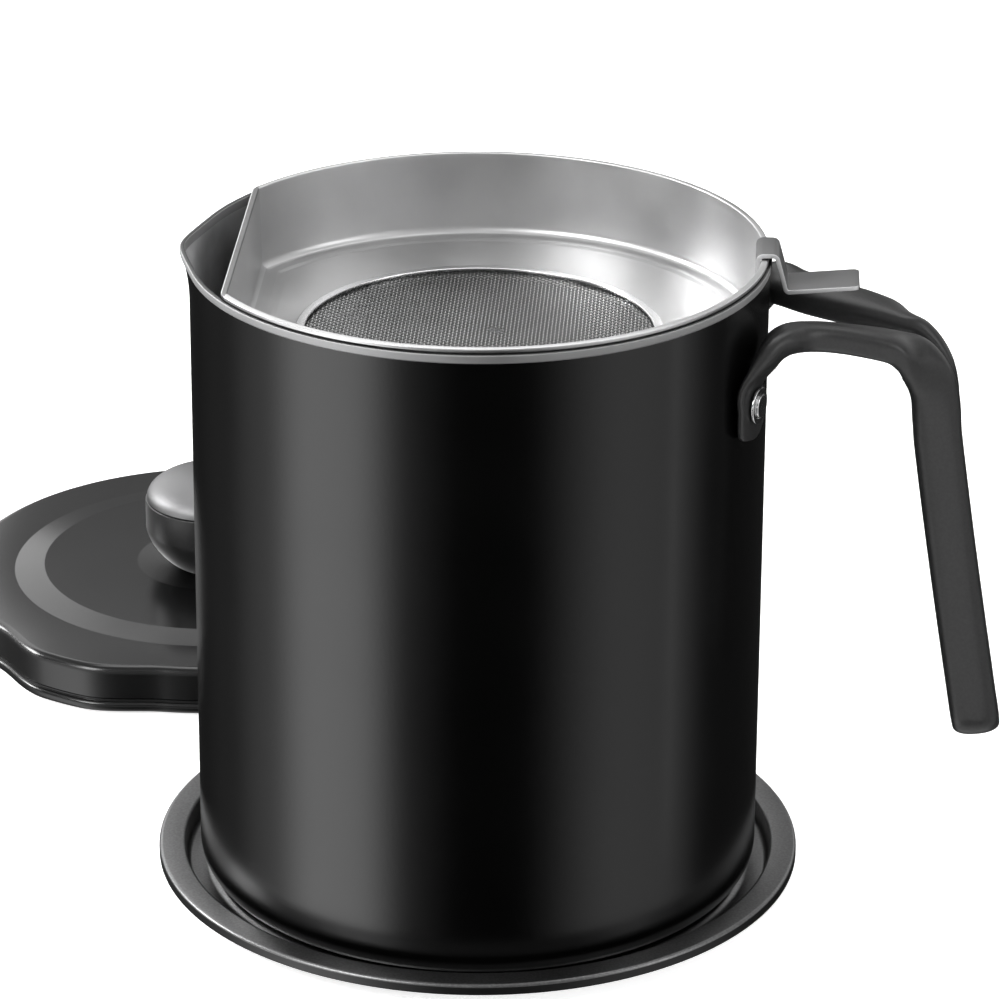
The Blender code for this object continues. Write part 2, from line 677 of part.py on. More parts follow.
def build_tab(material, parent):
    """Bent strip: leg inside the basket, hook over the rim and a thumb rest outside."""
    inner_wall = BASKET_RADIUS - BASKET_SHEET
    bow = inner_wall - math.sqrt(inner_wall ** 2 - (TAB_WIDTH / 2) ** 2)
    leg_x = inner_wall - bow - SEAT_GAP
    over_z = LIP_TOP_Z + SEAT_GAP
    rim_x = HEM_RADIUS + TAB_RIM_CLEARANCE
    heel_x, heel_z = rim_x + TAB_SLANT, over_z - TAB_DROP
    corners = [
        (leg_x, over_z - TAB_INNER_LEG, 0),
        (leg_x, over_z, TAB_HOOK_FILLET / 2),
        (rim_x, over_z, TAB_HOOK_FILLET / 2),
        (heel_x, heel_z, TAB_HEEL_FILLET),
        (heel_x + TAB_THUMB, heel_z + TAB_THUMB_RISE, 0),
    ]
    bm = bmesh.new()
    outline = sheet_outline(corners, TAB_SHEET)
    face = bm.faces.new([bm.verts.new((x, -TAB_WIDTH / 2, z)) for x, z in outline])
    grown = bmesh.ops.extrude_face_region(bm, geom=[face])
    moved = [item for item in grown["geom"] if isinstance(item, bmesh.types.BMVert)]
    bmesh.ops.translate(bm, verts=moved, vec=(0, TAB_WIDTH, 0))
    tip = heel_x + TAB_THUMB - TAB_SHEET / 2
    corners_of_tip = [edge for edge in bm.edges if all(vert.co.x > tip for vert in edge.verts)
                      and edge.verts[0].co.y == edge.verts[1].co.y]
    bmesh.ops.bevel(bm, geom=corners_of_tip, offset=TAB_CORNER, segments=TAB_CORNER_STEPS,
                    profile=0.5, affect="EDGES")
    make_object("strainer_tab", bm, material, parent)


def build_lid(material, parent):
    """Lid shell: dish for the knob, raised middle, beaked edge, skirt and bead, and a notch."""
    angles = spout_angles()
    sheet, fillet, edge = LID_SHEET, LID_EDGE_FILLET, LID_RADIUS
    bore = SCREW_RADIUS + SEAT_GAP
    dish = KNOB_FOOT_RADIUS + SEAT_GAP
    foot = LID_PLATEAU_RADIUS + LID_SLOPE_WIDTH
    bend = fillet * (1 - math.sqrt(0.5))
    half_bead = LID_BEAD / 2
    neck = LID_BEAD + LID_GROOVE
    profile = [
        (bore, DISH_Z, 0),
        (dish, DISH_Z, 0),
        (LID_DISH_RADIUS, LID_TOP_Z, 0),
        (LID_PLATEAU_RADIUS, LID_TOP_Z, 0),
        (foot, LID_HEIGHT, 0),
        (edge - fillet, LID_HEIGHT, 1),
        (edge - bend, LID_HEIGHT - bend, 1),
        (edge, LID_HEIGHT - fillet, 1),
        (edge, neck + LID_GROOVE, 1),
        (edge - LID_GROOVE / 2, neck, 1),
        (edge + LID_BEAD_OUT / 2, LID_BEAD, 1),
        (edge + LID_BEAD_OUT, half_bead, 1),
        (edge + LID_BEAD_OUT / 2, 0, 1),
        (edge - sheet / 2, 0, 1),
        (edge - sheet, half_bead, 1),
        (edge - sheet, LID_HEIGHT - fillet, 1),
        (edge - fillet, LID_HEIGHT - sheet, 1),
        (foot, LID_HEIGHT - sheet, 0),
        (LID_PLATEAU_RADIUS, LID_TOP_Z - sheet, 0),
        (LID_DISH_RADIUS, LID_TOP_Z - sheet, 0),
        (dish, DISH_Z - sheet, 0),
        (bore, DISH_Z - sheet, 0),
    ]
    rings = []
    for radius, height, share in profile:
        rings.append(polar_ring(angles, lambda a: radius + share * lid_beak(a), height))
    lid = make_object("lid_shell", skinned(rings, closed=True), material, parent)
    leg = BASKET_RADIUS - BASKET_SHEET - TAB_SHEET
    start, end = leg - LID_NOTCH_CLEARANCE * 2, edge + LID_BEAD_OUT + OVERRUN
    width = TAB_WIDTH + 2 * LID_NOTCH_CLEARANCE
    height = LID_TOP_Z + 2 * OVERRUN
    centre = Matrix.Translation(((start + end) / 2, 0, height / 2 - OVERRUN))
    size = Matrix.Diagonal((end - start, width, height, 1))
    notch = bmesh.new()
    bmesh.ops.create_cube(notch, size=1, matrix=centre @ size)
    cut(lid, make_cutter("lid_notch", notch, parent))


def build_knob(materials, parent):
    """Bowl-shaped body, domed cap, and the screw and washer that hold them from below."""
    bore = SCREW_RADIUS + SEAT_GAP
    steps = 3 * FILLET_STEPS
    turns = [math.pi / 2 * step / steps for step in range(steps)]
    widening = KNOB_RADIUS - KNOB_FOOT_RADIUS
    bowl = [(KNOB_FOOT_RADIUS + widening * math.sin(t) ** KNOB_BOWL_FULLNESS,
             KNOB_Z + KNOB_BOWL_HEIGHT * (1 - math.cos(t) ** KNOB_BOWL_FULLNESS)) for t in turns]
    bore_end = KNOB_Z + SCREW_GRIP + SEAT_GAP
    recess = SPIGOT_RADIUS + SEAT_GAP
    recess_z = KNOB_SEAM_Z - SPIGOT_DEPTH - SEAT_GAP
    body = [(0, bore_end), (bore, bore_end), (bore, KNOB_Z)] + bowl + [
        (KNOB_RADIUS, KNOB_Z + KNOB_BOWL_HEIGHT),
        (KNOB_RADIUS, KNOB_SEAM_Z - KNOB_CHAMFER),
        (KNOB_RADIUS - KNOB_CHAMFER, KNOB_SEAM_Z),
        (recess, KNOB_SEAM_Z),
        (recess, recess_z),
        (0, recess_z),
    ]
    make_object("knob_body", turned(body, SMALL_ROUND_STEPS), materials["body"], parent)

    cap_z = KNOB_SEAM_Z + SEAT_GAP
    cap_radius = KNOB_RADIUS - KNOB_SEAM_INSET
    dome = [(cap_radius * math.cos(t), cap_z + KNOB_DOME_HEIGHT * math.sin(t)) for t in turns]
    spigot_z = cap_z - SPIGOT_DEPTH
    cap = [(0, spigot_z), (SPIGOT_RADIUS, spigot_z), (SPIGOT_RADIUS, cap_z)] + dome + [
        (0, cap_z + KNOB_DOME_HEIGHT)]
    make_object("knob_cap", turned(cap, SMALL_ROUND_STEPS), materials["cap"], parent)

    washer_top = DISH_Z - LID_SHEET - SEAT_GAP
    washer_z = washer_top - WASHER_SHEET
    washer = [(bore, washer_z), (WASHER_RADIUS, washer_z), (WASHER_RADIUS, washer_top), (bore, washer_top)]
    make_object("screw_washer", turned(washer, SMALL_ROUND_STEPS), materials["screw"], parent)

    under = washer_z - SEAT_GAP
    head = under - SCREW_HEAD_HEIGHT
    screw = [
        (0, head),
        (SCREW_HEAD_RADIUS - SCREW_HEAD_CHAMFER, head),
        (SCREW_HEAD_RADIUS, head + SCREW_HEAD_CHAMFER),
        (SCREW_HEAD_RADIUS, under),
        (SCREW_RADIUS, under),
        (SCREW_RADIUS, KNOB_Z + SCREW_GRIP),
        (0, KNOB_Z + SCREW_GRIP),
    ]
    make_object("knob_screw", turned(screw, SMALL_ROUND_STEPS), materials["screw"], parent)


def main():
    clear_scene()
    coat = make_material("black_coat", (0.012, 0.012, 0.013), 0.38, 0.0)
    bar_coat = make_material("handle_coat", (0.02, 0.02, 0.021), 0.42, 0.0)
    lid_coat = make_material("lid_coat", (0.05, 0.05, 0.052), 0.38, 0.3)
    tray_metal = make_material("tray_metal", (0.22, 0.22, 0.225), 0.38, 1.0)
    steel = make_material("brushed_steel", (0.56, 0.56, 0.57), 0.28, 1.0)
    wire = make_material("mesh_wire", (0.5, 0.5, 0.52), 0.35, 1.0)
    polished = make_material("polished_steel", (0.66, 0.66, 0.67), 0.16, 1.0)
    tab_steel = make_material("tab_steel", (0.42, 0.42, 0.43), 0.34, 1.0)
    knob = {
        "body": make_material("knob_black", (0.02, 0.02, 0.021), 0.3, 0.0),
        "cap": make_material("cap_metal", (0.42, 0.42, 0.43), 0.33, 1.0),
        "screw": make_material("screw_steel", (0.5, 0.5, 0.51), 0.3, 1.0),
    }

    build_tray(tray_metal)
    pot_lift = make_anchor("pot_lift", (0, 0, 0))
    pot = build_pot(coat, pot_lift)
    handle = build_handle(bar_coat, pot_lift)
    for name, side in (("rivet_front", -1), ("rivet_back", 1)):
        build_rivet(name, side, polished, pot_lift)
        cutter = build_rivet_cutter(name + "_hole", side, pot_lift)
        cut(pot, cutter)
        cut(handle, cutter)

    strainer_lift = make_anchor("strainer_lift", (0, 0, 0), parent=pot_lift)
    build_basket(steel, strainer_lift)
    build_mesh_ring(polished, strainer_lift)
    build_mesh(wire, strainer_lift)
    build_tab(tab_steel, strainer_lift)

    lid_x, lid_y = LID_FROM_TRAY * math.cos(LID_DIRECTION), LID_FROM_TRAY * math.sin(LID_DIRECTION)
    lid_lift = make_anchor("lid_lift", (lid_x, lid_y, 0), LID_TURN)
    build_lid(lid_coat, lid_lift)
    build_knob(knob, lid_lift)
    bpy.context.view_layer.update()


main()
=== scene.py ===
"""Looks of a bacon grease container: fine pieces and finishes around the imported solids.

Metres, +Z up. The tray stands on the floor at the origin, the spout points to -X and the
handle to +X, and the lid lies behind the tray.
"""

import math

import bmesh
import bpy
from bpy.props import FloatProperty, FloatVectorProperty, PointerProperty
from mathutils import Matrix, Vector


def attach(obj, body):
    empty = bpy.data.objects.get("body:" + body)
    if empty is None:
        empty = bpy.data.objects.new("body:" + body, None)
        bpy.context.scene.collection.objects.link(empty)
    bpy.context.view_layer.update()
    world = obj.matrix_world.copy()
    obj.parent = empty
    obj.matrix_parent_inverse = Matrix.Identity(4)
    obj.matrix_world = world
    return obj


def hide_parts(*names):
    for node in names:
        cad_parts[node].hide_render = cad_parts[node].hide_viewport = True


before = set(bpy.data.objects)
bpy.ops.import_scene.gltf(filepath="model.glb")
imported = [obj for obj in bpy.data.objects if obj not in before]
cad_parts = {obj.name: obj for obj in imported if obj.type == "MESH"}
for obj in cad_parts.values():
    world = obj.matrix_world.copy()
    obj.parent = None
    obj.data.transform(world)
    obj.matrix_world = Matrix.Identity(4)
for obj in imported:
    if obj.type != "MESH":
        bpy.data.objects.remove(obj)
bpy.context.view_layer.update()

bl_info = {
    "name": "Grease keeper looks",
    "version": (1, 0, 0),
    "blender": (4, 5, 0),
    "location": "3D View > Sidebar > Keeper",
    "description": "Builds the fine pieces, finishes and studio of a grease keeper",
    "category": "Object",
}

# Faces round a large piece, in the beak's zone, round a small piece and in a bend
ROUND_STEPS = 192
BEAK_STEPS = 48
SMALL_STEPS = 96
ARC_STEPS = 6
QUARTER = math.pi / 2
SMOOTH_ANGLE = math.radians(38)
MERGE_DISTANCE = 0.000004
# Room between pieces that touch, and the least distance between points that mustn't merge
SEAT_GAP = 0.0003
HAIR = 0.0001


def length(name, description, default):
    """A size in metres."""
    return FloatProperty(name=name, description=description, default=default, unit="LENGTH",
                         precision=5)


def turn(name, description, degrees):
    """An angle."""
    return FloatProperty(name=name, description=description, default=math.radians(degrees),
                         unit="ROTATION")


def share(name, description, default):
    """A number from 0 to 1."""
    return FloatProperty(name=name, description=description, default=default, min=0, max=1,
                         subtype="FACTOR")


def colour(name, description, default):
    """A linear colour."""
    return FloatVectorProperty(name=name, description=description, default=default, size=3,
                               subtype="COLOR", min=0, max=1)


class TraySizes(bpy.types.PropertyGroup):
    """Sizes of the drip tray."""
    sheet: length("Sheet", "Thickness of the tray's sheet", 0.0006)
    recess_radius: length("Recess radius", "Inner radius of the recess the pot stands in", 0.0682)
    flare: length("Flare", "How far the recess wall leans out", 0.0004)
    flange: length("Flange", "Width of the flat rim", 0.0062)
    height: length("Height", "Height of the flat rim", 0.0060)
    edge_drop: length("Edge drop", "How far the outer edge is folded down", 0.0025)
    base_fillet: length("Base fillet", "Bend at the foot of the recess wall", 0.0014)
    edge_fillet: length("Edge fillet", "Bend at the rim's edges", 0.0009)
    bead_inset: length("Bead inset", "Twice the distance from the pot's wall to the floor bead",
                       0.0062)
    bead_width: length("Bead half width", "Half the width of the floor bead", 0.0014)
    bead_height: length("Bead height", "Height of the floor bead", 0.0008)


class PotSizes(bpy.types.PropertyGroup):
    """Sizes of the pot."""
    radius: length("Radius", "Outer radius of the wall", 0.0650)
    height: length("Height", "Height of the pot", 0.1508)
    base_z: length("Base height", "Height of the pot's bottom above the floor", 0.0009)
    sheet: length("Sheet", "Thickness of the wall", 0.0007)
    base_fillet: length("Base fillet", "Rounding of the lower edge", 0.0070)
    hem_out: length("Hem out", "How far the folded rim stands out from the wall", 0.0004)
    hem_height: length("Hem height", "Height of the folded rim", 0.0018)
    hem_edge: length("Hem edge", "Rounding of the folded rim", 0.0005)
    fade_height: length("Beak fade", "Height over which the beak fades into the wall", 0.0085)
    beak_tangent: turn("Beak width", "Angle from the tip at which the beak leaves the round", 17.3)
    beak_tip: turn("Beak tip", "Angle over which the beak's tip is rounded", 3.6)
    beak_zone: turn("Beak zone", "Half angle in which the faces are narrower", 24)


class HandleSizes(bpy.types.PropertyGroup):
    """Sizes of the handle and its rivets."""
    ear_sheet: length("Ear thickness", "Thickness of the flat ears", 0.0025)
    ear_half_width: length("Ear half width", "Half the width of an ear", 0.0068)
    ear_below: length("Ear below", "How far an ear reaches below its rivet", 0.0078)
    ear_above: length("Ear above", "How far an ear stays flat above its rivet", 0.0045)
    half_width: length("Half width", "Half the bar's wide side", 0.0055)
    squareness: FloatProperty(name="Squareness", description="2 is an ellipse, more is squarer",
                              default=2.5)
    rivet_angle: turn("Rivet angle", "Angle of the rivets from the handle's middle", 22.4)
    rivet_drop: length("Rivet drop", "Depth of the rivets below the pot's rim", 0.0255)
    rivet_head: length("Rivet head", "Radius of a rivet's head", 0.0041)
    rivet_shank: length("Rivet shank", "Radius of a rivet's shank", 0.0020)
    rivet_rim: length("Rivet rim", "Height of the head's rim", 0.0006)
    rivet_crown: length("Rivet crown", "Height of the head's crown", 0.0011)
    crown_radius: length("Crown radius", "Radius of the head's crown", 0.0026)
    rivet_groove: length("Rivet groove", "Depth of the groove round the crown", 0.0003)
    rivet_tail: length("Rivet tail", "Radius of the tail inside the pot", 0.0034)
    tail_height: length("Tail height", "Height of the tail inside the pot", 0.0014)


class StrainerSizes(bpy.types.PropertyGroup):
    """Sizes of the strainer basket, its mesh and its tab."""
    sheet: length("Sheet", "Thickness of the basket's sheet", 0.0006)
    radius: length("Radius", "Outer radius of the basket's wall", 0.0639)
    depth: length("Depth", "Depth of the basket", 0.0199)
    taper: length("Taper", "How far the wall leans in", 0.0002)
    fillet: length("Fillet", "Bend between wall and floor", 0.0026)
    lip: length("Lip", "Height of the lip on the pot's rim", 0.0009)
    lip_crown: length("Lip crown", "How much lower the lip's outer edge is than its middle",
                      0.00008)
    lip_edge: length("Lip edge", "Rounding of the lip", 0.0003)
    corner: length("Corner", "Rounding of the upright corners", 0.0020)
    lip_corner: length("Lip corner", "Rounding of the lip's corners", 0.0050)
    chord: length("Straight side", "Distance from the middle to the lip's straight side", 0.0545)
    slope: length("Slope", "How far the straight wall leans in", 0.0004)
    ledge: length("Ledge", "Width of the floor's outer ledge", 0.0038)
    ledge_step: length("Ledge step", "Depth of the step inside the ledge", 0.0003)
    ledge_run: length("Ledge run", "Width of the slope inside the ledge", 0.0011)
    floor_fall: length("Floor fall", "How far the floor falls towards the mesh", 0.0015)
    floor_corner: length("Floor corner", "Rounding of the floor's corners inside the ledge", 0.0240)
    mesh_radius: length("Mesh radius", "Radius of the wire cloth", 0.0410)
    mesh_sheet: length("Mesh thickness", "Thickness of the wire cloth", 0.0006)
    wire_pitch: length("Wire pitch", "Distance between wires", 0.00085)
    wire_radius: length("Wire radius", "Radius of a wire", 0.00014)
    ring_wall: length("Ring wall", "Thickness of the mesh ring's outer wall", 0.0004)
    ring_lip: length("Ring lip", "Thickness of the mesh ring's lips", 0.0005)
    seat_ledge: length("Seat ledge", "Width of the ledge under the ring", 0.0022)
    tab_sheet: length("Tab thickness", "Thickness of the tab", 0.0010)
    tab_width: length("Tab width", "Width of the tab", 0.0115)
    tab_leg: length("Tab leg", "Length of the leg inside the basket", 0.0062)
    tab_clearance: length("Tab clearance", "Room between the tab and the rim", 0.0006)
    tab_drop: length("Tab drop", "How far the tab comes down outside", 0.0085)
    tab_slant: length("Tab slant", "How far the outer leg leans out", 0.0023)
    tab_thumb: length("Thumb rest", "Length of the thumb rest", 0.0167)
    tab_rise: length("Thumb rise", "How far the thumb rest rises", 0.0015)
    tab_hook: length("Hook bend", "Bend over the rim", 0.0012)
    tab_heel: length("Heel bend", "Bend at the thumb rest", 0.0015)
    tab_corner: length("Tab corner", "Rounding of the thumb rest's corners", 0.0015)


class LidSizes(bpy.types.PropertyGroup):
    """Sizes of the lid and its knob."""
    place_x: length("Place across", "Where the lid lies, across", -0.076986)
    place_y: length("Place back", "Where the lid lies, behind the tray", 0.139692)
    turned: turn("Turn", "How far the lid is turned", 63)
    sheet: length("Sheet", "Thickness of the lid's sheet", 0.0006)
    radius: length("Radius", "Outer radius of the skirt", 0.0666)
    height: length("Height", "Height of the outer flat", 0.0120)
    fillet: length("Edge fillet", "Rounding of the top edge", 0.0022)
    bead: length("Bead", "Height of the rolled bead", 0.0026)
    bead_out: length("Bead out", "How far the bead stands out", 0.0010)
    groove: length("Groove", "Depth of the groove over the bead", 0.0005)
    rise: length("Rise", "How far the middle stands above the outer flat", 0.0012)
    plateau: length("Plateau radius", "Radius of the raised middle", 0.0447)
    slope: length("Slope width", "Width of the sloped band round the middle", 0.0078)
    dish_radius: length("Dish radius", "Radius of the dish round the knob", 0.0205)
    dish_depth: length("Dish depth", "Depth of the dish", 0.0020)
    beak_reach: length("Beak reach", "How far the lid's beak stands out", 0.0041)
    beak_half_angle: turn("Beak half angle", "Half the angle that the beak takes", 22)
    beak_flank: share("Beak flank", "Part of the half angle that the hollow flank takes", 0.8)
    notch: length("Notch clearance", "Room beside the tab in the notch", 0.0010)
    knob_radius: length("Knob radius", "Radius of the knob", 0.0180)
    knob_foot: length("Knob foot", "Radius of the knob's foot", 0.0070)
    bowl_height: length("Bowl height", "Height of the knob's bowl", 0.0118)
    bowl_fullness: FloatProperty(name="Bowl fullness", description="How full the bowl is",
                                 default=1.3)
    band_height: length("Band height", "Height of the knob's straight band", 0.0076)
    dome_height: length("Dome height", "Height of the cap's dome", 0.0072)
    knob_chamfer: length("Knob chamfer", "Rounding at the seam", 0.0004)
    seam_inset: length("Seam inset", "How far the cap is smaller than the body", 0.0003)
    spigot_radius: length("Spigot radius", "Radius of the cap's spigot", 0.0145)
    spigot_depth: length("Spigot depth", "Depth of the cap's spigot", 0.0012)
    screw_radius: length("Screw radius", "Radius of the screw", 0.0020)
    grip: length("Screw grip", "How far the screw goes into the knob", 0.0100)


class Finishes(bpy.types.PropertyGroup):
    """Colours of the finishes."""
    coat: colour("Pot coat", "Satin black coat of the pot", (0.0008, 0.0008, 0.0008))
    bar: colour("Handle coat", "Satin black coat of the handle", (0.020, 0.020, 0.0202))
    lid: colour("Lid coat", "Dark grey coat of the lid", (0.003, 0.003, 0.0031))
    knob: colour("Knob", "Black plastic of the knob", (0.010, 0.010, 0.0102))
    cap: colour("Cap", "Satin steel of the knob's cap", (0.19, 0.19, 0.192))
    tray: colour("Tray", "Grey satin metal of the tray", (0.162, 0.162, 0.163))
    steel: colour("Steel", "Satin steel of the strainer", (0.56, 0.56, 0.562))
    inside: colour("Pot inside", "Darker steel of the pot's inside", (0.62, 0.62, 0.625))
    rim: colour("Rim", "Bare steel of the pot's folded rim", (0.38, 0.38, 0.382))
    polished: colour("Polished steel", "Rivets and ring", (0.66, 0.66, 0.665))
    tab: colour("Tab", "Satin steel of the tab", (0.17, 0.17, 0.171))
    wire: colour("Wire", "Steel wire of the mesh", (0.50, 0.50, 0.50))
    floor: colour("Floor", "Pale floor", (0.80, 0.80, 0.80))


class KeeperSettings(bpy.types.PropertyGroup):
    """Everything that can be changed."""
    tray: PointerProperty(type=TraySizes)
    pot: PointerProperty(type=PotSizes)
    handle: PointerProperty(type=HandleSizes)
    strainer: PointerProperty(type=StrainerSizes)
    lid: PointerProperty(type=LidSizes)
    finish: PointerProperty(type=Finishes)


def rounded(corners):
    """Points and left normals along (across, up, fillet) corners, with arcs at the fillets."""
    spots = [Vector(corner[:2]) for corner in corners]
    runs = [(after - before).normalized() for before, after in zip(spots, spots[1:])]
    lefts = [Vector((-run.y, run.x)) for run in runs]
    path = [(spots[0], lefts[0])]
    for index in range(1, len(spots) - 1):
        spot, fillet = spots[index], corners[index][2]
        before, after = lefts[index - 1], lefts[index]
        angle = math.atan2(before.cross(after), before.dot(after))
        if not fillet:
            path.append((spot, (before + after) / (1 + before.dot(after))))
            continue
        side = math.copysign(1, angle)
        reach = fillet * math.tan(abs(angle) / 2)
        centre = spot - runs[index - 1] * reach + before * side * fillet
        for step in range(ARC_STEPS + 1):
            normal = before.copy()
            normal.rotate(Matrix.Rotation(angle * step / ARC_STEPS, 2))
            path.append((centre - normal * side * fillet, normal))
    path.append((spots[-1], lefts[-1]))
    return path


def filleted(corners, steps=ARC_STEPS):
    """Closed (across, up) outline with every (across, up, fillet) corner rounded."""
    count = len(corners)
    outline = []
    for index, (across, up, fillet) in enumerate(corners):
        spot = Vector((across, up))
        before = Vector(corners[index - 1][:2]) - spot
        after = Vector(corners[(index + 1) % count][:2]) - spot
        if not fillet:
            outline.append(spot)
            continue
        reach = min(fillet, before.length / 2, after.length / 2)
        start, end = spot + before.normalized() * reach, spot + after.normalized() * reach
        for step in range(steps + 1):
            part = step / steps
            outline.append(start * (1 - part) ** 2 + spot * 2 * part * (1 - part) + end * part ** 2)
    return outline


def turns(start, end, steps):
    """Angles from the start to the end, both of them included."""
    return [start + (end - start) * step / steps for step in range(steps + 1)]


def even_angles(count):
    """Angles all round."""
    return [2 * math.pi * step / count for step in range(count)]


def beak_angles(zone):
    """Angles all round, closer together at the beak at -X."""
    fine = [math.pi + zone * (2 * step / BEAK_STEPS - 1) for step in range(BEAK_STEPS)]
    rest = 2 * math.pi - 2 * zone
    return fine + [math.pi + zone + rest * step / ROUND_STEPS for step in range(ROUND_STEPS)]


def from_beak(angle):
    """Angle away from -X."""
    return abs(math.remainder(angle - math.pi, 2 * math.pi))


def skin(rings, closed=True):
    """Vertices and faces of a surface through rings of points; an open one gets two end caps."""
    count = len(rings[0])
    verts = [tuple(point) for ring in rings for point in ring]
    faces = []
    for row in range(len(rings) if closed else len(rings) - 1):
        first, second = row * count, ((row + 1) % len(rings)) * count
        for index in range(count):
            after = (index + 1) % count
            faces.append((first + index, first + after, second + after, second + index))
    if not closed:
        faces.append(tuple(range(count)))
        faces.append(tuple(range((len(rings) - 1) * count, len(rings) * count)))
    return verts, faces


def round_rings(profile, angles, beak=None):
    """Rings of a profile of (radius, height) or (radius, height, share of the beak) points."""
    rings = []
    for radius, height, *shares in profile:
        part = shares[0] if shares else 0
        reaches = [radius + (part * beak(angle) if part else 0) for angle in angles]
        rings.append([(reach * math.cos(angle), reach * math.sin(angle), height)
                      for reach, angle in zip(reaches, angles)])
    return rings


def link_mesh(name, verts, faces):
    """A new object with a mesh, in the scene."""
    mesh = bpy.data.meshes.new(name)
    mesh.from_pydata(verts, [], faces)
    made = bpy.data.objects.new(name, mesh)
    bpy.context.scene.collection.objects.link(made)
    return made


def add_piece(name, surface, body, finishes, stands_for, place=None):
    """A piece of the object: smooth, with its finishes, riding on its body in place of a solid."""
    piece = link_mesh(name, *surface)
    mesh = piece.data
    bm = bmesh.new()
    bm.from_mesh(mesh)
    bmesh.ops.remove_doubles(bm, verts=bm.verts, dist=MERGE_DISTANCE)
    bmesh.ops.dissolve_degenerate(bm, edges=bm.edges, dist=MERGE_DISTANCE)
    bmesh.ops.recalc_face_normals(bm, faces=bm.faces)
    bm.to_mesh(mesh)
    bm.free()
    if place:
        mesh.transform(place)
    mesh.shade_smooth()
    mesh.set_sharp_from_angle(angle=SMOOTH_ANGLE)
    for finish in finishes:
        mesh.materials.append(make_finish(finish))
    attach(piece, body)
    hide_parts(stands_for)
    return piece


def paint(piece, choose):
    """Give each face the finish that choose(centre, normal) names by number."""
    for face in piece.data.polygons:
        face.material_index = choose(face.center, face.normal)


# Metals: colour setting, part of that colour, roughness, and what differs from PLAIN_METAL
METALS = {
    "tray_satin": ("tray", 1, 0.36, {"grain_scale": 1700, "grain": 0.000008, "vary": 0.18,
                                     "speckled": True}),
    # painted shade: the tray's folded outer edge, at 0.3 of the tray's colour
    "tray_edge_satin": ("tray", 0.3, 0.45, {}),
    "pot_rim_steel": ("rim", 1, 0.62, {}),
    # painted shade: the hem's top ring, a dark line standing for the shadowed gap beside the lip
    "pot_rim_dark_steel": ("rim", 0.2, 0.45, {}),
    "pot_inside_steel": ("inside", 1, 0.55, {"vary": 0.25}),
    "rivet_polished_steel": ("polished", 1, 0.17, {}),
    "strainer_satin_steel": ("steel", 1, 0.40, {}),
    # painted shade: the lip's straight side, a darker copy of the steel
    "strainer_lip_steel": ("rim", 0.55, 0.36, {}),
    # painted shade: the basket's level floor faces, a darker copy of its steel
    "strainer_floor_steel": ("steel", 0.8, 0.38, {}),
    "ring_steel": ("polished", 1, 0.22, {}),
    "wire_steel": ("wire", 1, 0.30, {"grain_scale": 2000, "grain": 0.000002}),
    "tab_satin_steel": ("tab", 1, 0.48, {"grain_scale": 1200, "grain": 0.00001, "vary": 0.10}),
    # painted highlight: the tab's side edges, in brighter polished steel
    "tab_edge_steel": ("polished", 1, 0.60, {}),
    "cap_satin_steel": ("cap", 1, 0.48, {"grain": 0.000006}),
    "screw_plain_steel": ("wire", 1, 0.30, {}),
}
PLAIN_METAL = {"grain_scale": 900, "grain": 0.000004, "vary": 0.06, "speckled": False}
# Coats: colour setting, roughness, refractive index, and what differs from PLAIN_COAT
COATS = {
    "pot_black_coat": ("coat", 0.24, 1.5, {}),
    "handle_black_coat": ("bar", 0.36, 1.4, {}),
    "lid_dark_coat": ("lid", 0.21, 1.5, {"grain": 0.000002}),
    # painted reflection: the dish round the knob reflects more strongly than the same coat
    # elsewhere
    "lid_dish_coat": ("lid", 0.24, 1.85, {"grain": 0.000002}),
    "lid_skirt_coat": ("lid", 0.36, 1.5, {"grain": 0.000002}),
    "knob_black_plastic": ("knob", 0.34, 1.42, {"sheen": (0.6, 0.3)}),
}
PLAIN_COAT = {"grain_scale": 1400, "grain": 0.00001, "vary": 0.15, "sheen": (0, 0.5)}
# Scale and detail of each noise, how much the slow one changes a roughness, and the part of a
# noise's range that is used
METAL_GRAIN_DETAIL, METAL_SLOW_NOISE, METAL_GLOSS_CHANGE = 3, (60, 4), 0.12
COAT_GRAIN_DETAIL, COAT_SLOW_NOISE, COAT_GLOSS_CHANGE = 2, (35, 3), 0.07
NOISE_LOW, NOISE_HIGH = 0.3, 0.7


def new_material(name):
    """An empty node material, its tree and its Principled shader."""
    material = bpy.data.materials.new(name)
    material.use_nodes = True
    tree = material.node_tree
    return material, tree, tree.nodes["Principled BSDF"]


def add_node(tree, kind, **settings):
    """A node with its settings; a setting that is no attribute is an input."""
    made = tree.nodes.new(kind)
    for key, value in settings.items():
        if hasattr(made, key):
            setattr(made, key, value)
        else:
            made.inputs[key.replace("_", " ").title()].default_value = value
    return made


def noise(tree, scale, detail):
    """Noise over the object's own space."""
    place = add_node(tree, "ShaderNodeTexCoord")
    made = add_node(tree, "ShaderNodeTexNoise", scale=scale, detail=detail)
    tree.links.new(place.outputs["Object"], made.inputs["Vector"])
    return made.outputs["Fac"]


def spread(tree, value, low, high):
    """A noise value carried to a range."""
    made = add_node(tree, "ShaderNodeMapRange", from_min=NOISE_LOW, from_max=NOISE_HIGH,
                    to_min=low, to_max=high)
    tree.links.new(value, made.inputs["Value"])
    return made.outputs["Result"]


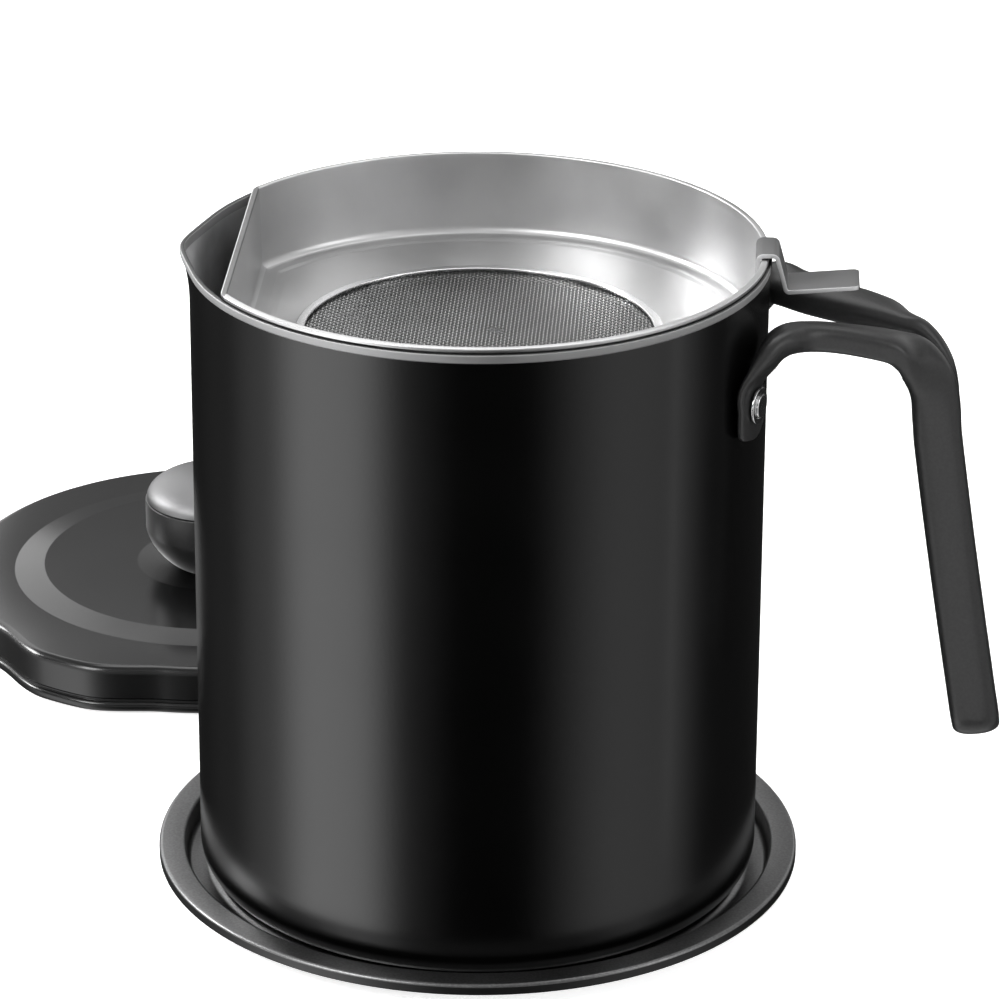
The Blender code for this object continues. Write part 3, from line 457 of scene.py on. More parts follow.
def dress(tree, shader, base, speckles, vary, fine, grain, slow, roughness, change):
    """Colour with speckles, gloss with slow changes and relief with fine grain, from noises."""
    ramp = add_node(tree, "ShaderNodeMix", data_type="RGBA")
    ramp.inputs["A"].default_value = (*[c * (1 - vary) for c in base], 1)
    ramp.inputs["B"].default_value = (*[min(c * (1 + vary), 1) for c in base], 1)
    tree.links.new(spread(tree, speckles, 0, 1), ramp.inputs["Factor"])
    tree.links.new(ramp.outputs["Result"], shader.inputs["Base Color"])
    gloss = spread(tree, slow, roughness * (1 - change), roughness * (1 + change))
    tree.links.new(gloss, shader.inputs["Roughness"])
    relief = add_node(tree, "ShaderNodeBump", distance=grain)
    tree.links.new(fine, relief.inputs["Height"])
    tree.links.new(relief.outputs["Normal"], shader.inputs["Normal"])


def make_finish(name):
    """The metal or coat of this name, from its row in METALS or COATS."""
    material, tree, shader = new_material(name)
    colours = bpy.context.scene.keeper.finish
    if name in METALS:
        setting, part, roughness, details = METALS[name]
        look = {**PLAIN_METAL, **details}
        base = [c * part for c in getattr(colours, setting)]
        shader.inputs["Metallic"].default_value = 1.0
        fine = noise(tree, look["grain_scale"], METAL_GRAIN_DETAIL)
        slow = noise(tree, *METAL_SLOW_NOISE)
        speckles, change = fine if look["speckled"] else slow, METAL_GLOSS_CHANGE
    else:
        setting, roughness, index, details = COATS[name]
        look = {**PLAIN_COAT, **details}
        base = getattr(colours, setting)
        shader.inputs["IOR"].default_value = index
        for key, value in zip(("Sheen Weight", "Sheen Roughness"), look["sheen"]):
            shader.inputs[key].default_value = value
        fine = noise(tree, look["grain_scale"], COAT_GRAIN_DETAIL)
        slow = noise(tree, *COAT_SLOW_NOISE)
        speckles, change = fine, COAT_GLOSS_CHANGE
    dress(tree, shader, base, speckles, look["vary"], fine, look["grain"], slow, roughness, change)
    return material


# How far up or sideways a face looks that takes another finish of its piece: painted shade on the
# tray's folded edge, the hem's top and the basket's floor, a painted highlight on the tab's edges,
# and a rougher coat on the lid's skirt
TRAY_EDGE_BELOW, HEM_TOP_ABOVE, FLOOR_ABOVE, TAB_EDGE_ABOVE, SKIRT_BELOW = 0.3, 0.6, 0.8, 0.5, 0.4
# Bends of the tray's bead
BEAD_FOOT_BEND = 0.002
BEAD_TOP_BEND = 0.001


class KEEPER_OT_drip_tray(bpy.types.Operator):
    """Make the drip tray with its flat rim and the recess the pot stands in"""
    bl_idname = "keeper.drip_tray"
    bl_label = "Drip tray"

    def execute(self, context):
        size = context.scene.keeper.tray
        bead = context.scene.keeper.pot.radius - size.bead_inset / 2
        rim = size.recess_radius + size.flare
        floor = size.sheet
        path = rounded([
            (0, floor, 0),
            (bead - size.bead_width, floor, BEAD_FOOT_BEND),
            (bead, floor + size.bead_height, BEAD_TOP_BEND),
            (bead + size.bead_width, floor, BEAD_FOOT_BEND),
            (size.recess_radius, floor, size.base_fillet),
            (rim, size.height, size.edge_fillet),
            (rim + size.flange, size.height, size.edge_fillet),
            (rim + size.flange, size.height - size.edge_drop, 0),
        ])
        end, out = path[-1]
        profile = [point for point, _ in path]
        profile.append(end - out * size.sheet / 2 + Vector((0, -size.sheet / 4)))
        profile += [point - side * size.sheet for point, side in reversed(path)]
        tray = add_piece("drip_tray", skin(round_rings(profile, even_angles(ROUND_STEPS))), "tray",
                         ["tray_satin", "tray_edge_satin"], "tray")
        fold = rim + size.flange - size.sheet

        def choose(centre, normal):
            # The folded edge's outside takes the tray's metal darkened as painted shade.
            return 1 if centre.xy.length > fold and normal.z < TRAY_EDGE_BELOW else 0

        paint(tray, choose)
        return {"FINISHED"}


FADE_STEPS = 14
BASE_STEPS = 16
# How far the rim's fold comes down inside, in its own roundings, and where its bare metal starts
HEM_INSIDE = 1.5
BARE_FROM = 0.3


class KEEPER_OT_pot(bpy.types.Operator):
    """Make the pot with its folded rim and pouring beak"""
    bl_idname = "keeper.pot"
    bl_label = "Pot"

    def execute(self, context):
        size = context.scene.keeper.pot
        rim_z = size.base_z + size.height
        hem, inner = size.radius + size.hem_out, size.radius - size.sheet
        fade_z = rim_z - size.hem_height - size.hem_out

        def beak(angle):
            away = math.hypot(from_beak(angle), size.beak_tip)
            if away >= size.beak_tangent:
                return 0.0
            return hem / math.cos(size.beak_tangent - away) - hem

        def base(sheet):
            fillet = size.base_fillet - sheet
            centre, floor = size.radius - size.base_fillet, size.base_z + sheet
            return [(centre + fillet * math.sin(t), floor + fillet * (1 - math.cos(t)), 0)
                    for t in turns(0, QUARTER, BASE_STEPS)]

        wall = [(size.radius, fade_z - size.fade_height * down / FADE_STEPS,
                 (1 - down / FADE_STEPS) ** 2) for down in range(FADE_STEPS, -1, -1)]
        inner_wall = [(radius - size.sheet, height, part) for radius, height, part in wall]
        fold = [(point.x, point.y, 1) for point in filleted([
            (size.radius, fade_z + HAIR, 0),
            (hem, fade_z + size.hem_out, size.hem_out),
            (hem, rim_z, size.hem_edge),
            (inner, rim_z, size.hem_edge),
            (inner, rim_z - size.hem_edge * HEM_INSIDE, 0),
        ])]
        profile = [(0, size.base_z, 0)] + base(0) + wall + fold
        profile += inner_wall[::-1] + base(size.sheet)[::-1] + [(0, size.base_z + size.sheet, 0)]
        pot = add_piece("grease_pot", skin(round_rings(profile, beak_angles(size.beak_zone), beak)),
                        "pot", ["pot_black_coat", "pot_rim_steel", "pot_inside_steel",
                                              "pot_rim_dark_steel"], "pot_shell")

        def choose(centre, normal):
            # The hem's exposed top ring is painted dark, as shade for the gap beside the lip.
            if centre.z > rim_z - size.hem_edge and normal.z > HEM_TOP_ABOVE:
                return 3
            if centre.z > fade_z + size.hem_out * BARE_FROM:
                return 1
            outward = normal.x * centre.x + normal.y * centre.y
            low = centre.z < size.base_z + size.sheet / 2
            return 0 if outward > 0 or low else 2

        paint(pot, choose)
        return {"FINISHED"}


# The ear's rounded foot: shares of its height below the rivet and of its half width
EAR_ROUND_SHARES = ((0.0, 0.30), (0.04, 0.52), (0.10, 0.70), (0.19, 0.83), (0.30, 0.93),
                    (0.45, 0.98), (0.62, 1.0))
# Out from the pot's wall, half spread, drop from the rim and half thickness; wide direction
BAR_PLACES = (
    ("shoulder", (-0.0003, 0.0234, 0.0157, 0.0024), (-0.26, 1.00, 0.26)),
    ("shoulder top", (0.0021, 0.0200, 0.0138, 0.0030), (0.10, 1.00, 0.36)),
    ("arm start", (0.0052, 0.0160, 0.0133, 0.0034), (0.60, 1.00, 0.33)),
    ("arm rise", (0.0095, 0.0133, 0.0138, 0.0034), (0.45, 1.00, 0.30)),
    ("arm middle", (0.0154, 0.0115, 0.0147, 0.0034), (0.22, 1.00, 0.27)),
    ("arm end", (0.0240, 0.0100, 0.0164, 0.0034), (0.05, 1.00, 0.12)),
    ("bend start", (0.0285, 0.0092, 0.0178, 0.0033), (-0.10, 1.00, -0.02)),
    ("bend middle", (0.0335, 0.0079, 0.0214, 0.0031), (-0.60, 0.70, -0.50)),
    ("bend end", (0.0373, 0.0060, 0.0288, 0.0029), (-1.00, 0.30, -0.22)),
    ("leg start", (0.0388, 0.0048, 0.0417, 0.0028), (-1.00, 0.00, -0.13)),
    ("leg middle", (0.0434, 0.0039, 0.0717, 0.0028), (-1.00, 0.00, -0.13)),
    ("leg end", (0.0496, 0.0042, 0.1086, 0.0028), (-1.00, 0.00, -0.13)),
    ("toe side", (0.0502, 0.0031, 0.1117, 0.0028), (-1.00, 0.00, -0.13)),
    ("toe", (0.0504, 0.0, 0.1130, 0.0028), (-1.00, 0.00, -0.13)),
)
# Rings from one place of the bar to the next, and points round its section
BAR_STEPS = 8
SECTION_STEPS = 40


def slope(rows, index, column):
    """How fast a column of the rows changes along the bar at this row."""
    before, here, after = rows[max(index - 1, 0)], rows[index], rows[min(index + 1, len(rows) - 1)]
    span = (here[0] - before[0]).length + (after[0] - here[0]).length
    return (after[column] - before[column]) / span


def between(rows, index, column, part):
    """Value of a column part of the way along the smooth curve from this row to the next."""
    start, end = rows[index], rows[index + 1]
    span = (end[0] - start[0]).length
    square, cube = part ** 2, part ** 3
    return (start[column] * (2 * cube - 3 * square + 1) + end[column] * (3 * square - 2 * cube)
            + slope(rows, index, column) * span * (cube - 2 * square + part)
            + slope(rows, index + 1, column) * span * (cube - square))


class KEEPER_OT_handle(bpy.types.Operator):
    """Make the handle from one twisted bar with a flat ear at each end"""
    bl_idname = "keeper.handle"
    bl_label = "Handle"

    def execute(self, context):
        size, pot = context.scene.keeper.handle, context.scene.keeper.pot
        rim_z = pot.base_z + pot.height
        angle = size.rivet_angle
        outward = Vector((math.cos(angle), math.sin(angle), 0))
        tangent = Vector((-math.sin(angle), math.cos(angle), 0))
        half = size.ear_sheet / 2
        rivet = outward * (pot.radius + SEAT_GAP + half) + Vector((0, 0, rim_z - size.rivet_drop))
        rows = []
        for up_part, width_part in EAR_ROUND_SHARES:
            centre = rivet - Vector((0, 0, size.ear_below * (1 - up_part)))
            rows.append((centre, tangent, size.ear_half_width * width_part, half))
        rows.append((rivet, tangent, size.ear_half_width, half))
        ear_top = rivet + Vector((0, 0, size.ear_above))
        rows.append((ear_top, tangent, size.ear_half_width, half))
        for _, (out, side, drop, thickness), wide in BAR_PLACES:
            centre = Vector((pot.radius + out, side, rim_z - drop))
            rows.append((centre, Vector(wide), size.half_width, thickness))
        flip = Vector((1, -1, 1))
        for centre, wide, width, thickness in rows[-2::-1]:
            other = wide * flip
            if other.dot(rows[-1][1]) < 0:
                other = -other
            rows.append((centre * flip, other, width, thickness))
        rows = [(centre, wide.normalized(), *halves) for centre, wide, *halves in rows]
        smooth = [[between(rows, index, column, step / BAR_STEPS) for column in range(4)]
                  for index in range(len(rows) - 1) for step in range(BAR_STEPS)]
        smooth.append(rows[-1])
        rings = []
        power = 2 / size.squareness
        for index, (centre, wide, width, thickness) in enumerate(smooth):
            before, after = smooth[max(index - 1, 0)][0], smooth[min(index + 1, len(smooth) - 1)][0]
            along = (after - before).normalized()
            side = (wide - along * wide.dot(along)).normalized()
            up = along.cross(side)
            ring = []
            for angle in even_angles(SECTION_STEPS):
                across, over = math.cos(angle), math.sin(angle)
                ring.append(centre + side * width * math.copysign(abs(across) ** power, across)
                            + up * thickness * math.copysign(abs(over) ** power, over))
            rings.append(ring)
        add_piece("handle_grip", skin(rings, closed=False), "pot",
                  ["handle_black_coat"], "handle_bar")
        return {"FINISHED"}


class KEEPER_OT_rivets(bpy.types.Operator):
    """Make the two rivets with stepped heads that hold the ears"""
    bl_idname = "keeper.rivets"
    bl_label = "Rivets"

    def execute(self, context):
        size, pot = context.scene.keeper.handle, context.scene.keeper.pot
        bow = pot.radius - math.sqrt(pot.radius ** 2 - size.rivet_tail ** 2)
        tail = pot.radius - pot.sheet - SEAT_GAP - bow
        face = pot.radius + SEAT_GAP + size.ear_sheet + SEAT_GAP
        groove = size.rivet_groove
        outline = filleted([
            (0, tail - size.tail_height, 0),
            (size.rivet_tail, tail - size.tail_height, size.tail_height / 2),
            (size.rivet_tail, tail, 0),
            (size.rivet_shank, tail, 0),
            (size.rivet_shank, face, 0),
            (size.rivet_head, face, groove / 2),
            (size.rivet_head, face + size.rivet_rim, groove),
            (size.crown_radius + groove, face + size.rivet_rim, groove / 2),
            (size.crown_radius, face + size.rivet_rim - groove, groove / 2),
            (size.crown_radius, face + size.rivet_crown, size.rivet_crown / 2),
            (0, face + size.rivet_crown, 0),
        ])
        raised = Matrix.Translation((0, 0, pot.base_z + pot.height - size.rivet_drop))
        for name, side in (("front", -1), ("back", 1)):
            turned = Matrix.Rotation(side * size.rivet_angle, 4, "Z")
            add_piece("ear_rivet_" + name, skin(round_rings(outline, even_angles(SMALL_STEPS))),
                      "pot", ["rivet_polished_steel"], "rivet_" + name,
                      raised @ turned @ Matrix.Rotation(QUARTER, 4, "Y"))
        return {"FINISHED"}


CHORD_STEPS = 32
CORNER_STEPS = 10
LIP_BEND_STEPS = 4
# Where the lip's inside and the wall start under the lip, and the lip's crest, as a share of it
LIP_START = 0.001
WALL_START = 0.0012
LIP_CREST = 0.1
# Bends of the ledge's slope, and the flat strips that hold the floor's edge and its bend
LEDGE_BEND = 0.0011
FLOOR_STRIP = 0.0014
FLOOR_HOLD = 0.0004
# Bevel of the floor over the ring's seat, and the strip with its rise that holds it
SEAT_BEVEL = 0.0003
SEAT_STRIP = 0.0011
SEAT_STRIP_RISE = 0.0001
# Bends of the mesh ring: bottom inside and outside, top outside and inside, and its slot
RING_BENDS = (0.0002, 0.0003, 0.0004, 0.0003, 0.0001)


def d_ring(radius, chord, corner, height):
    """Ring of a circle cut off by a straight chord at -X, with rounded corners."""
    corner_x = corner - chord
    corner_y = math.sqrt((radius - corner) ** 2 - corner_x ** 2)
    end = math.atan2(-corner_y, corner_x)

    def arc(centre_x, centre_y, reach, first, last, steps):
        return [(centre_x + reach * math.cos(angle), centre_y + reach * math.sin(angle), height)
                for angle in turns(first, last, steps)[:-1]]

    line = [(-chord, corner_y * (1 - 2 * step / CHORD_STEPS), height)
            for step in range(CHORD_STEPS)]
    return (line
            + arc(corner_x, -corner_y, corner, -math.pi, end, CORNER_STEPS)
            + arc(0, 0, radius, end, -end, ROUND_STEPS)
            + arc(corner_x, corner_y, corner, -end, math.pi, CORNER_STEPS))


def strainer_levels(keeper):
    """Heights of the foot and top of the basket's lip, and of the mesh ring's seat."""
    size = keeper.strainer
    lip_z = keeper.pot.base_z + keeper.pot.height + SEAT_GAP
    top = lip_z + size.lip
    seat_z = top - size.depth - size.ledge_step - size.floor_fall - size.sheet - SEAT_GAP
    return lip_z, top, seat_z


class KEEPER_OT_strainer_basket(bpy.types.Operator):
    """Make the strainer basket and the ring that holds the wire cloth"""
    bl_idname = "keeper.strainer_basket"
    bl_label = "Strainer basket"

    def execute(self, context):
        size, pot = context.scene.keeper.strainer, context.scene.keeper.pot
        lip_z, top, seat_z = strainer_levels(context.scene.keeper)
        sheet, edge = size.sheet, size.lip_edge
        floor_z = top - size.depth
        low = floor_z - size.ledge_step
        fallen = low - size.floor_fall
        lip_out = pot.radius + pot.hem_out - edge * 2
        wall_chord = size.chord - (lip_out - size.radius)
        outer = size.mesh_radius + SEAT_GAP + size.ring_wall
        seat_radius, hole = outer + SEAT_GAP, outer - size.seat_ledge
        slope_end = size.ledge + size.ledge_run
        floor_inset = slope_end + sheet + FLOOR_STRIP

        def ring(inset, height, lean=0.0, corner=size.corner):
            return d_ring(size.radius - size.taper * lean - inset,
                          wall_chord - size.slope * lean - inset,
                          max(corner - inset, corner / 2), height)

        def floor_ring(height):
            return ring(floor_inset, height, 1, size.floor_corner)

        def wall_rings(corners):
            rings = []
            for point, _ in rounded(corners):
                lean = min((lip_z - point.y) / (lip_z - (floor_z - sheet)), 1)
                rings.append(ring(point.x, point.y, lean))
            return rings

        lip = size.radius - lip_out
        lip_outline = filleted([
            (sheet, lip_z - LIP_START, 0), (sheet, top, edge), (lip * LIP_CREST, top, edge),
            (lip, top - size.lip_crown, edge), (lip, lip_z, edge / 2),
            (0, lip_z, edge / 2), (0, lip_z - LIP_START, 0)], LIP_BEND_STEPS)
        rings = []
        for point in lip_outline:
            outside = min(max(point.x / lip, 0), 1)
            corner = size.corner + (size.lip_corner - size.corner) * outside
            rings.append(ring(point.x, point.y, 0, corner))
        rings += wall_rings([
            (0, lip_z - WALL_START, 0),
            (0, floor_z - sheet, size.fillet),
            (size.ledge, floor_z - sheet, LEDGE_BEND),
            (slope_end, low - sheet, LEDGE_BEND),
            (slope_end + FLOOR_STRIP, low - sheet, 0),
        ])
        rings.append(floor_ring(low - sheet))
        for radius, height in (
                (seat_radius + sheet, seat_z + SEAT_GAP), (seat_radius + sheet, seat_z - sheet),
                (hole, seat_z - sheet), (hole, seat_z), (seat_radius, seat_z),
                (seat_radius, fallen - SEAT_BEVEL), (seat_radius + SEAT_BEVEL, fallen),
                (seat_radius + SEAT_STRIP, fallen + SEAT_STRIP_RISE)):
            rings.append([(radius * x / math.hypot(x, y), radius * y / math.hypot(x, y), height)
                          for x, y, _ in floor_ring(height)])
        rings.append(floor_ring(low))
        rings += wall_rings([
            (sheet, lip_z - WALL_START, 0),
            (sheet, floor_z, size.fillet - sheet),
            (size.ledge + sheet, floor_z, LEDGE_BEND),
            (slope_end + sheet, low, LEDGE_BEND),
            (floor_inset - FLOOR_HOLD, low, 0),
        ])[::-1]
        bowl = add_piece("strainer_bowl", skin(rings), "strainer",
                         ["strainer_satin_steel", "strainer_lip_steel", "strainer_floor_steel"],
                         "strainer_basket")

        def choose(centre, normal):
            # Painted shade: the lip's straight side and the level floor take darker copies of the
            # steel.
            if centre.z > lip_z:
                return 1 if sheet - wall_chord > centre.x > edge - size.chord else 0
            return 2 if normal.z > FLOOR_ABOVE else 0

        paint(bowl, choose)

        foot = seat_z + SEAT_GAP
        head = foot + size.mesh_sheet + 2 * SEAT_GAP + 2 * size.ring_lip
        slot = outer - size.ring_wall
        foot_in, foot_out, head_out, head_in, slot_bend = RING_BENDS
        crimp = filleted([
            (hole, foot, foot_in), (outer, foot, foot_out),
            (outer, head, head_out), (hole, head, head_in),
            (hole, head - size.ring_lip, slot_bend), (slot, head - size.ring_lip, 0),
            (slot, foot + size.ring_lip, 0), (hole, foot + size.ring_lip, slot_bend),
        ], LIP_BEND_STEPS)
        add_piece("cloth_ring", skin(round_rings(crimp, even_angles(ROUND_STEPS))), "strainer",
                  ["ring_steel"], "mesh_ring")
        return {"FINISHED"}


WIRE_SIDES = 4
# How far a wire goes up and down at the crossings, as a share of its radius
WEAVE_HEIGHT = 0.95


class KEEPER_OT_wire_cloth(bpy.types.Operator):
    """Weave the wire cloth of the strainer"""
    bl_idname = "keeper.wire_cloth"
    bl_label = "Wire cloth"

    def execute(self, context):
        size = context.scene.keeper.strainer
        seat_z = strainer_levels(context.scene.keeper)[2]
        middle = seat_z + SEAT_GAP + size.ring_lip + SEAT_GAP + size.mesh_sheet / 2
        pitch, wire, reach = size.wire_pitch, size.wire_radius, size.mesh_radius
        count = int(reach / pitch)
        verts, faces = [], []
        corners = [(math.cos(angle + QUARTER / 2), math.sin(angle + QUARTER / 2))
                   for angle in even_angles(WIRE_SIDES)]
        for crosswise in (0, 1):
            for line in range(-count, count + 1):
                offset = line * pitch
                crossings = int(math.sqrt(reach ** 2 - offset ** 2) / pitch)
                if crossings < 1:
                    continue
                start = len(verts)
                for cross in range(-crossings, crossings + 1):
                    over = 1 if (cross + line + crosswise) % 2 else -1
                    along, height = cross * pitch, middle + over * wire * WEAVE_HEIGHT
                    for side, up in corners:
                        across = offset + side * wire
                        spot = (along, across) if crosswise else (across, along)
                        verts.append((*spot, height + up * wire))
                for low in range(start, len(verts) - WIRE_SIDES, WIRE_SIDES):
                    high = low + WIRE_SIDES
                    for side in range(WIRE_SIDES):
                        after = (side + 1) % WIRE_SIDES
                        faces.append((low + side, low + after, high + after, high + side))
                faces.append(tuple(range(start, start + WIRE_SIDES)))
                faces.append(tuple(range(len(verts) - WIRE_SIDES, len(verts))))
        add_piece("woven_cloth", (verts, faces), "strainer", ["wire_steel"],
                  "strainer_mesh")
        return {"FINISHED"}


TAB_CORNER_STEPS = 8
TAB_EDGE_STEPS = 3
# Rounding of the tab's long edges, as a share of its sheet
TAB_EDGE = 0.18


class KEEPER_OT_lifting_tab(bpy.types.Operator):
    """Bend the lifting tab over the rim"""
    bl_idname = "keeper.lifting_tab"
    bl_label = "Lifting tab"

    def execute(self, context):
        size, pot = context.scene.keeper.strainer, context.scene.keeper.pot
        top = strainer_levels(context.scene.keeper)[1]
        half = size.tab_width / 2
        inner = size.radius - size.sheet
        bow = inner - math.sqrt(inner ** 2 - half ** 2)
        leg_x, over_z = inner - bow - SEAT_GAP, top + SEAT_GAP
        rim_x = pot.radius + pot.hem_out + size.tab_clearance
        heel_x, heel_z = rim_x + size.tab_slant, over_z - size.tab_drop
        path = rounded([
            (leg_x, over_z - size.tab_leg, 0),
            (leg_x, over_z, size.tab_hook / 2),
            (rim_x, over_z, size.tab_hook / 2),
            (heel_x, heel_z, size.tab_heel),
            (heel_x + size.tab_thumb, heel_z + size.tab_rise, 0),
        ])
        rows = [(point, normal, half) for point, normal in path[:-1]]
        end, normal = path[-1]
        run = Vector((normal.y, -normal.x))
        for angle in turns(0, QUARTER, TAB_CORNER_STEPS):
            back = size.tab_corner * (1 - math.sin(angle))
            narrowed = half - size.tab_corner * (1 - math.cos(angle))
            rows.append((end - run * back, normal, narrowed))
        edge = size.tab_sheet * TAB_EDGE
        rings = []
        for point, normal, reach in rows:
            outline = filleted([(-reach, 0, edge), (reach, 0, edge), (reach, size.tab_sheet, edge),
                                (-reach, size.tab_sheet, edge)], TAB_EDGE_STEPS)
            rings.append([(point.x + normal.x * spot.y, spot.x, point.y + normal.y * spot.y)
                          for spot in outline])
        tab = add_piece("thumb_tab", skin(rings, closed=False), "strainer",
                        ["tab_satin_steel", "tab_edge_steel"], "strainer_tab")
        # Painted highlight: the side edges take brighter polished steel.
        paint(tab, lambda centre, normal: 1 if abs(normal.y) > TAB_EDGE_ABOVE else 0)
        return {"FINISHED"}


BEAD_STEPS = 14
# Bends of the dish, of the sloped band and of the groove over the bead
DISH_BEND = 0.002
BAND_BEND = 0.0015
GROOVE_BENDS = (0.0004, 0.0003, 0.0002)
# How far the block that cuts the notch goes past the lid
NOTCH_OVERRUN = 0.002


def lid_place(size):
    """Where the lid lies and how it is turned."""
    moved = Matrix.Translation((size.place_x, size.place_y, 0))
    return moved @ Matrix.Rotation(size.turned, 4, "Z")


class KEEPER_OT_lid(bpy.types.Operator):
    """Make the lid with its raised middle, beaked edge, skirt and rolled bead"""
    bl_idname = "keeper.lid"
    bl_label = "Lid"

    def execute(self, context):
        keeper = context.scene.keeper
        size, strainer = keeper.lid, keeper.strainer
        edge, sheet, top = size.radius, size.sheet, size.height + size.rise
        dish_z = top - size.dish_depth
        bore, dish = size.screw_radius + SEAT_GAP, size.knob_foot + SEAT_GAP
        foot = size.plateau + size.slope
        neck = size.bead + size.groove
        groove_top, groove_middle, groove_foot = GROOVE_BENDS
        upper = rounded([
            (bore, dish_z, 0),
            (dish, dish_z, DISH_BEND),
            (size.dish_radius, top, DISH_BEND),
            (size.plateau, top, BAND_BEND),
            (foot, size.height, BAND_BEND),
            (edge, size.height, size.fillet),
            (edge, neck + size.groove, groove_top),
            (edge - size.groove / 2, neck, groove_middle),
            (edge, size.bead, groove_foot),
        ])
        bead = size.bead / 2
        roll = [Vector((edge + size.bead_out * math.cos(angle), bead + bead * math.sin(angle)))
                for angle in turns(QUARTER, -QUARTER, BEAD_STEPS)]
        lower = rounded([
            (edge - sheet, HAIR, 0),
            (edge - sheet, size.height - sheet, size.fillet - sheet),
            (foot, size.height - sheet, BAND_BEND),
            (size.plateau, top - sheet, BAND_BEND),
            (size.dish_radius, top - sheet, DISH_BEND),
            (dish, dish_z - sheet, DISH_BEND),
            (bore, dish_z - sheet, 0),
        ])
        points = [point for point, _ in upper[:-1]] + roll + [point for point, _ in lower]
        straight = edge - size.fillet - HAIR
        profile = [(point.x, point.y, 1 if point.x > straight else 0) for point in points]

        def beak(angle):
            away = from_beak(angle) / size.beak_half_angle
            if away >= 1:
                return 0.0
            part = min((1 - away) / size.beak_flank, 1)
            return size.beak_reach * part * part * (3 - 2 * part)

        place = lid_place(size)
        angles = beak_angles(keeper.pot.beak_zone)
        lid = add_piece("lid_pressing", skin(round_rings(profile, angles, beak)), "lid",
                        ["lid_dark_coat", "lid_dish_coat", "lid_skirt_coat"], "lid_shell", place)

        leg = strainer.radius - strainer.sheet - strainer.tab_sheet
        start, end = leg - size.notch * 2, edge + size.bead_out + NOTCH_OVERRUN
        width, height = strainer.tab_width + 2 * size.notch, top + 2 * NOTCH_OVERRUN
        spans = Matrix.Diagonal((end - start, width, height, 1))
        middle = Matrix.Translation(((start + end) / 2, 0, top / 2))
        cutter = link_mesh("notch_block", [], [])
        bm = bmesh.new()
        bmesh.ops.create_cube(bm, size=1, matrix=place @ middle @ spans)
        bm.to_mesh(cutter.data)
        bm.free()
        notch = lid.modifiers.new("notch", "BOOLEAN")
        notch.operation, notch.solver, notch.object = "DIFFERENCE", "EXACT", cutter
        context.view_layer.update()
        cut_lid = lid.evaluated_get(context.evaluated_depsgraph_get())
        cut_mesh = bpy.data.meshes.new_from_object(cut_lid)
        lid.modifiers.clear()
        lid.data = cut_mesh
        cut_mesh.set_sharp_from_angle(angle=SMOOTH_ANGLE)
        bpy.data.objects.remove(cutter, do_unlink=True)

        def choose(centre, normal):
            # Painted reflection: the dish round the knob takes a coat that reflects more strongly.
            if math.hypot(centre.x - size.place_x, centre.y - size.place_y) < size.dish_radius:
                return 1
            return 2 if abs(normal.z) < SKIRT_BELOW else 0

        paint(lid, choose)
        return {"FINISHED"}


BOWL_STEPS = 40
DOME_STEPS = 32
CHAMFER_TURNS = (0, 0.4, 0.8, 1.2, QUARTER)


class KEEPER_OT_knob(bpy.types.Operator):
    """Make the knob and its cap, and finish the screw and washer under the lid"""
    bl_idname = "keeper.knob"
    bl_label = "Knob"

    def execute(self, context):
        size = context.scene.keeper.lid
        place, angles = lid_place(size), even_angles(SMALL_STEPS)
        base = size.height + size.rise - size.dish_depth + SEAT_GAP
        seam = base + size.bowl_height + size.band_height
        bore, recess = size.screw_radius + SEAT_GAP, size.spigot_radius + SEAT_GAP
        bore_end = base + size.grip + SEAT_GAP
        recess_z = seam - size.spigot_depth - SEAT_GAP
        widening, fullness = size.knob_radius - size.knob_foot, size.bowl_fullness
        bowl = [(size.knob_foot + widening * math.sin(t) ** fullness,
                 base + size.bowl_height * (1 - math.cos(t) ** fullness))
                for t in turns(0, QUARTER, BOWL_STEPS)[:-1]]
        chamfer = [(size.knob_radius - size.knob_chamfer * (1 - math.cos(t)),
                    seam - size.knob_chamfer * (1 - math.sin(t))) for t in CHAMFER_TURNS]
        body = [(0, bore_end), (bore, bore_end), (bore, base)] + bowl
        body.append((size.knob_radius, base + size.bowl_height))
        body += chamfer + [(recess, seam), (recess, recess_z), (0, recess_z)]
        add_piece("knob_bowl", skin(round_rings(body, angles)), "lid",
                  ["knob_black_plastic"], "knob_body", place)

        cap_z = seam + SEAT_GAP
        cap_radius, spigot_z = size.knob_radius - size.seam_inset, cap_z - size.spigot_depth
        cap = [(0, spigot_z), (size.spigot_radius, spigot_z), (size.spigot_radius, cap_z)]
        cap += [(cap_radius * math.cos(t), cap_z + size.dome_height * math.sin(t))
                for t in turns(0, QUARTER, DOME_STEPS)[:-1]]
        cap.append((0, cap_z + size.dome_height))
        add_piece("knob_dome", skin(round_rings(cap, angles)), "lid",
                  ["cap_satin_steel"], "knob_cap", place)

        plain = make_finish("screw_plain_steel")
        for node in ("knob_screw", "screw_washer"):
            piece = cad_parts[node]
            piece.data.materials.clear()
            piece.data.materials.append(plain)
        return {"FINISHED"}


CAMERA_PLACE = (0.05808, -1.01575, 0.52145)
CAMERA_AIM = (-0.0482, 0.91971, -0.38961)
CAMERA_ROLL = 0.005
CAMERA_LENS, CAMERA_SENSOR = 174.0, 36.0
CAMERA_CLIP = (0.05, 50.0)
# Direction from the object to the camera, in degrees
CAMERA_SIDE = -86.7
FLOOR_REACH, FLOOR_Z = 6, -0.0004
FLOOR_ROUGHNESS, FLOOR_GLOW = 0.9, 0.78
WORLD_LIGHT, WORLD_WHITE = 0.20, 1.0
CARD_STEPS = 128
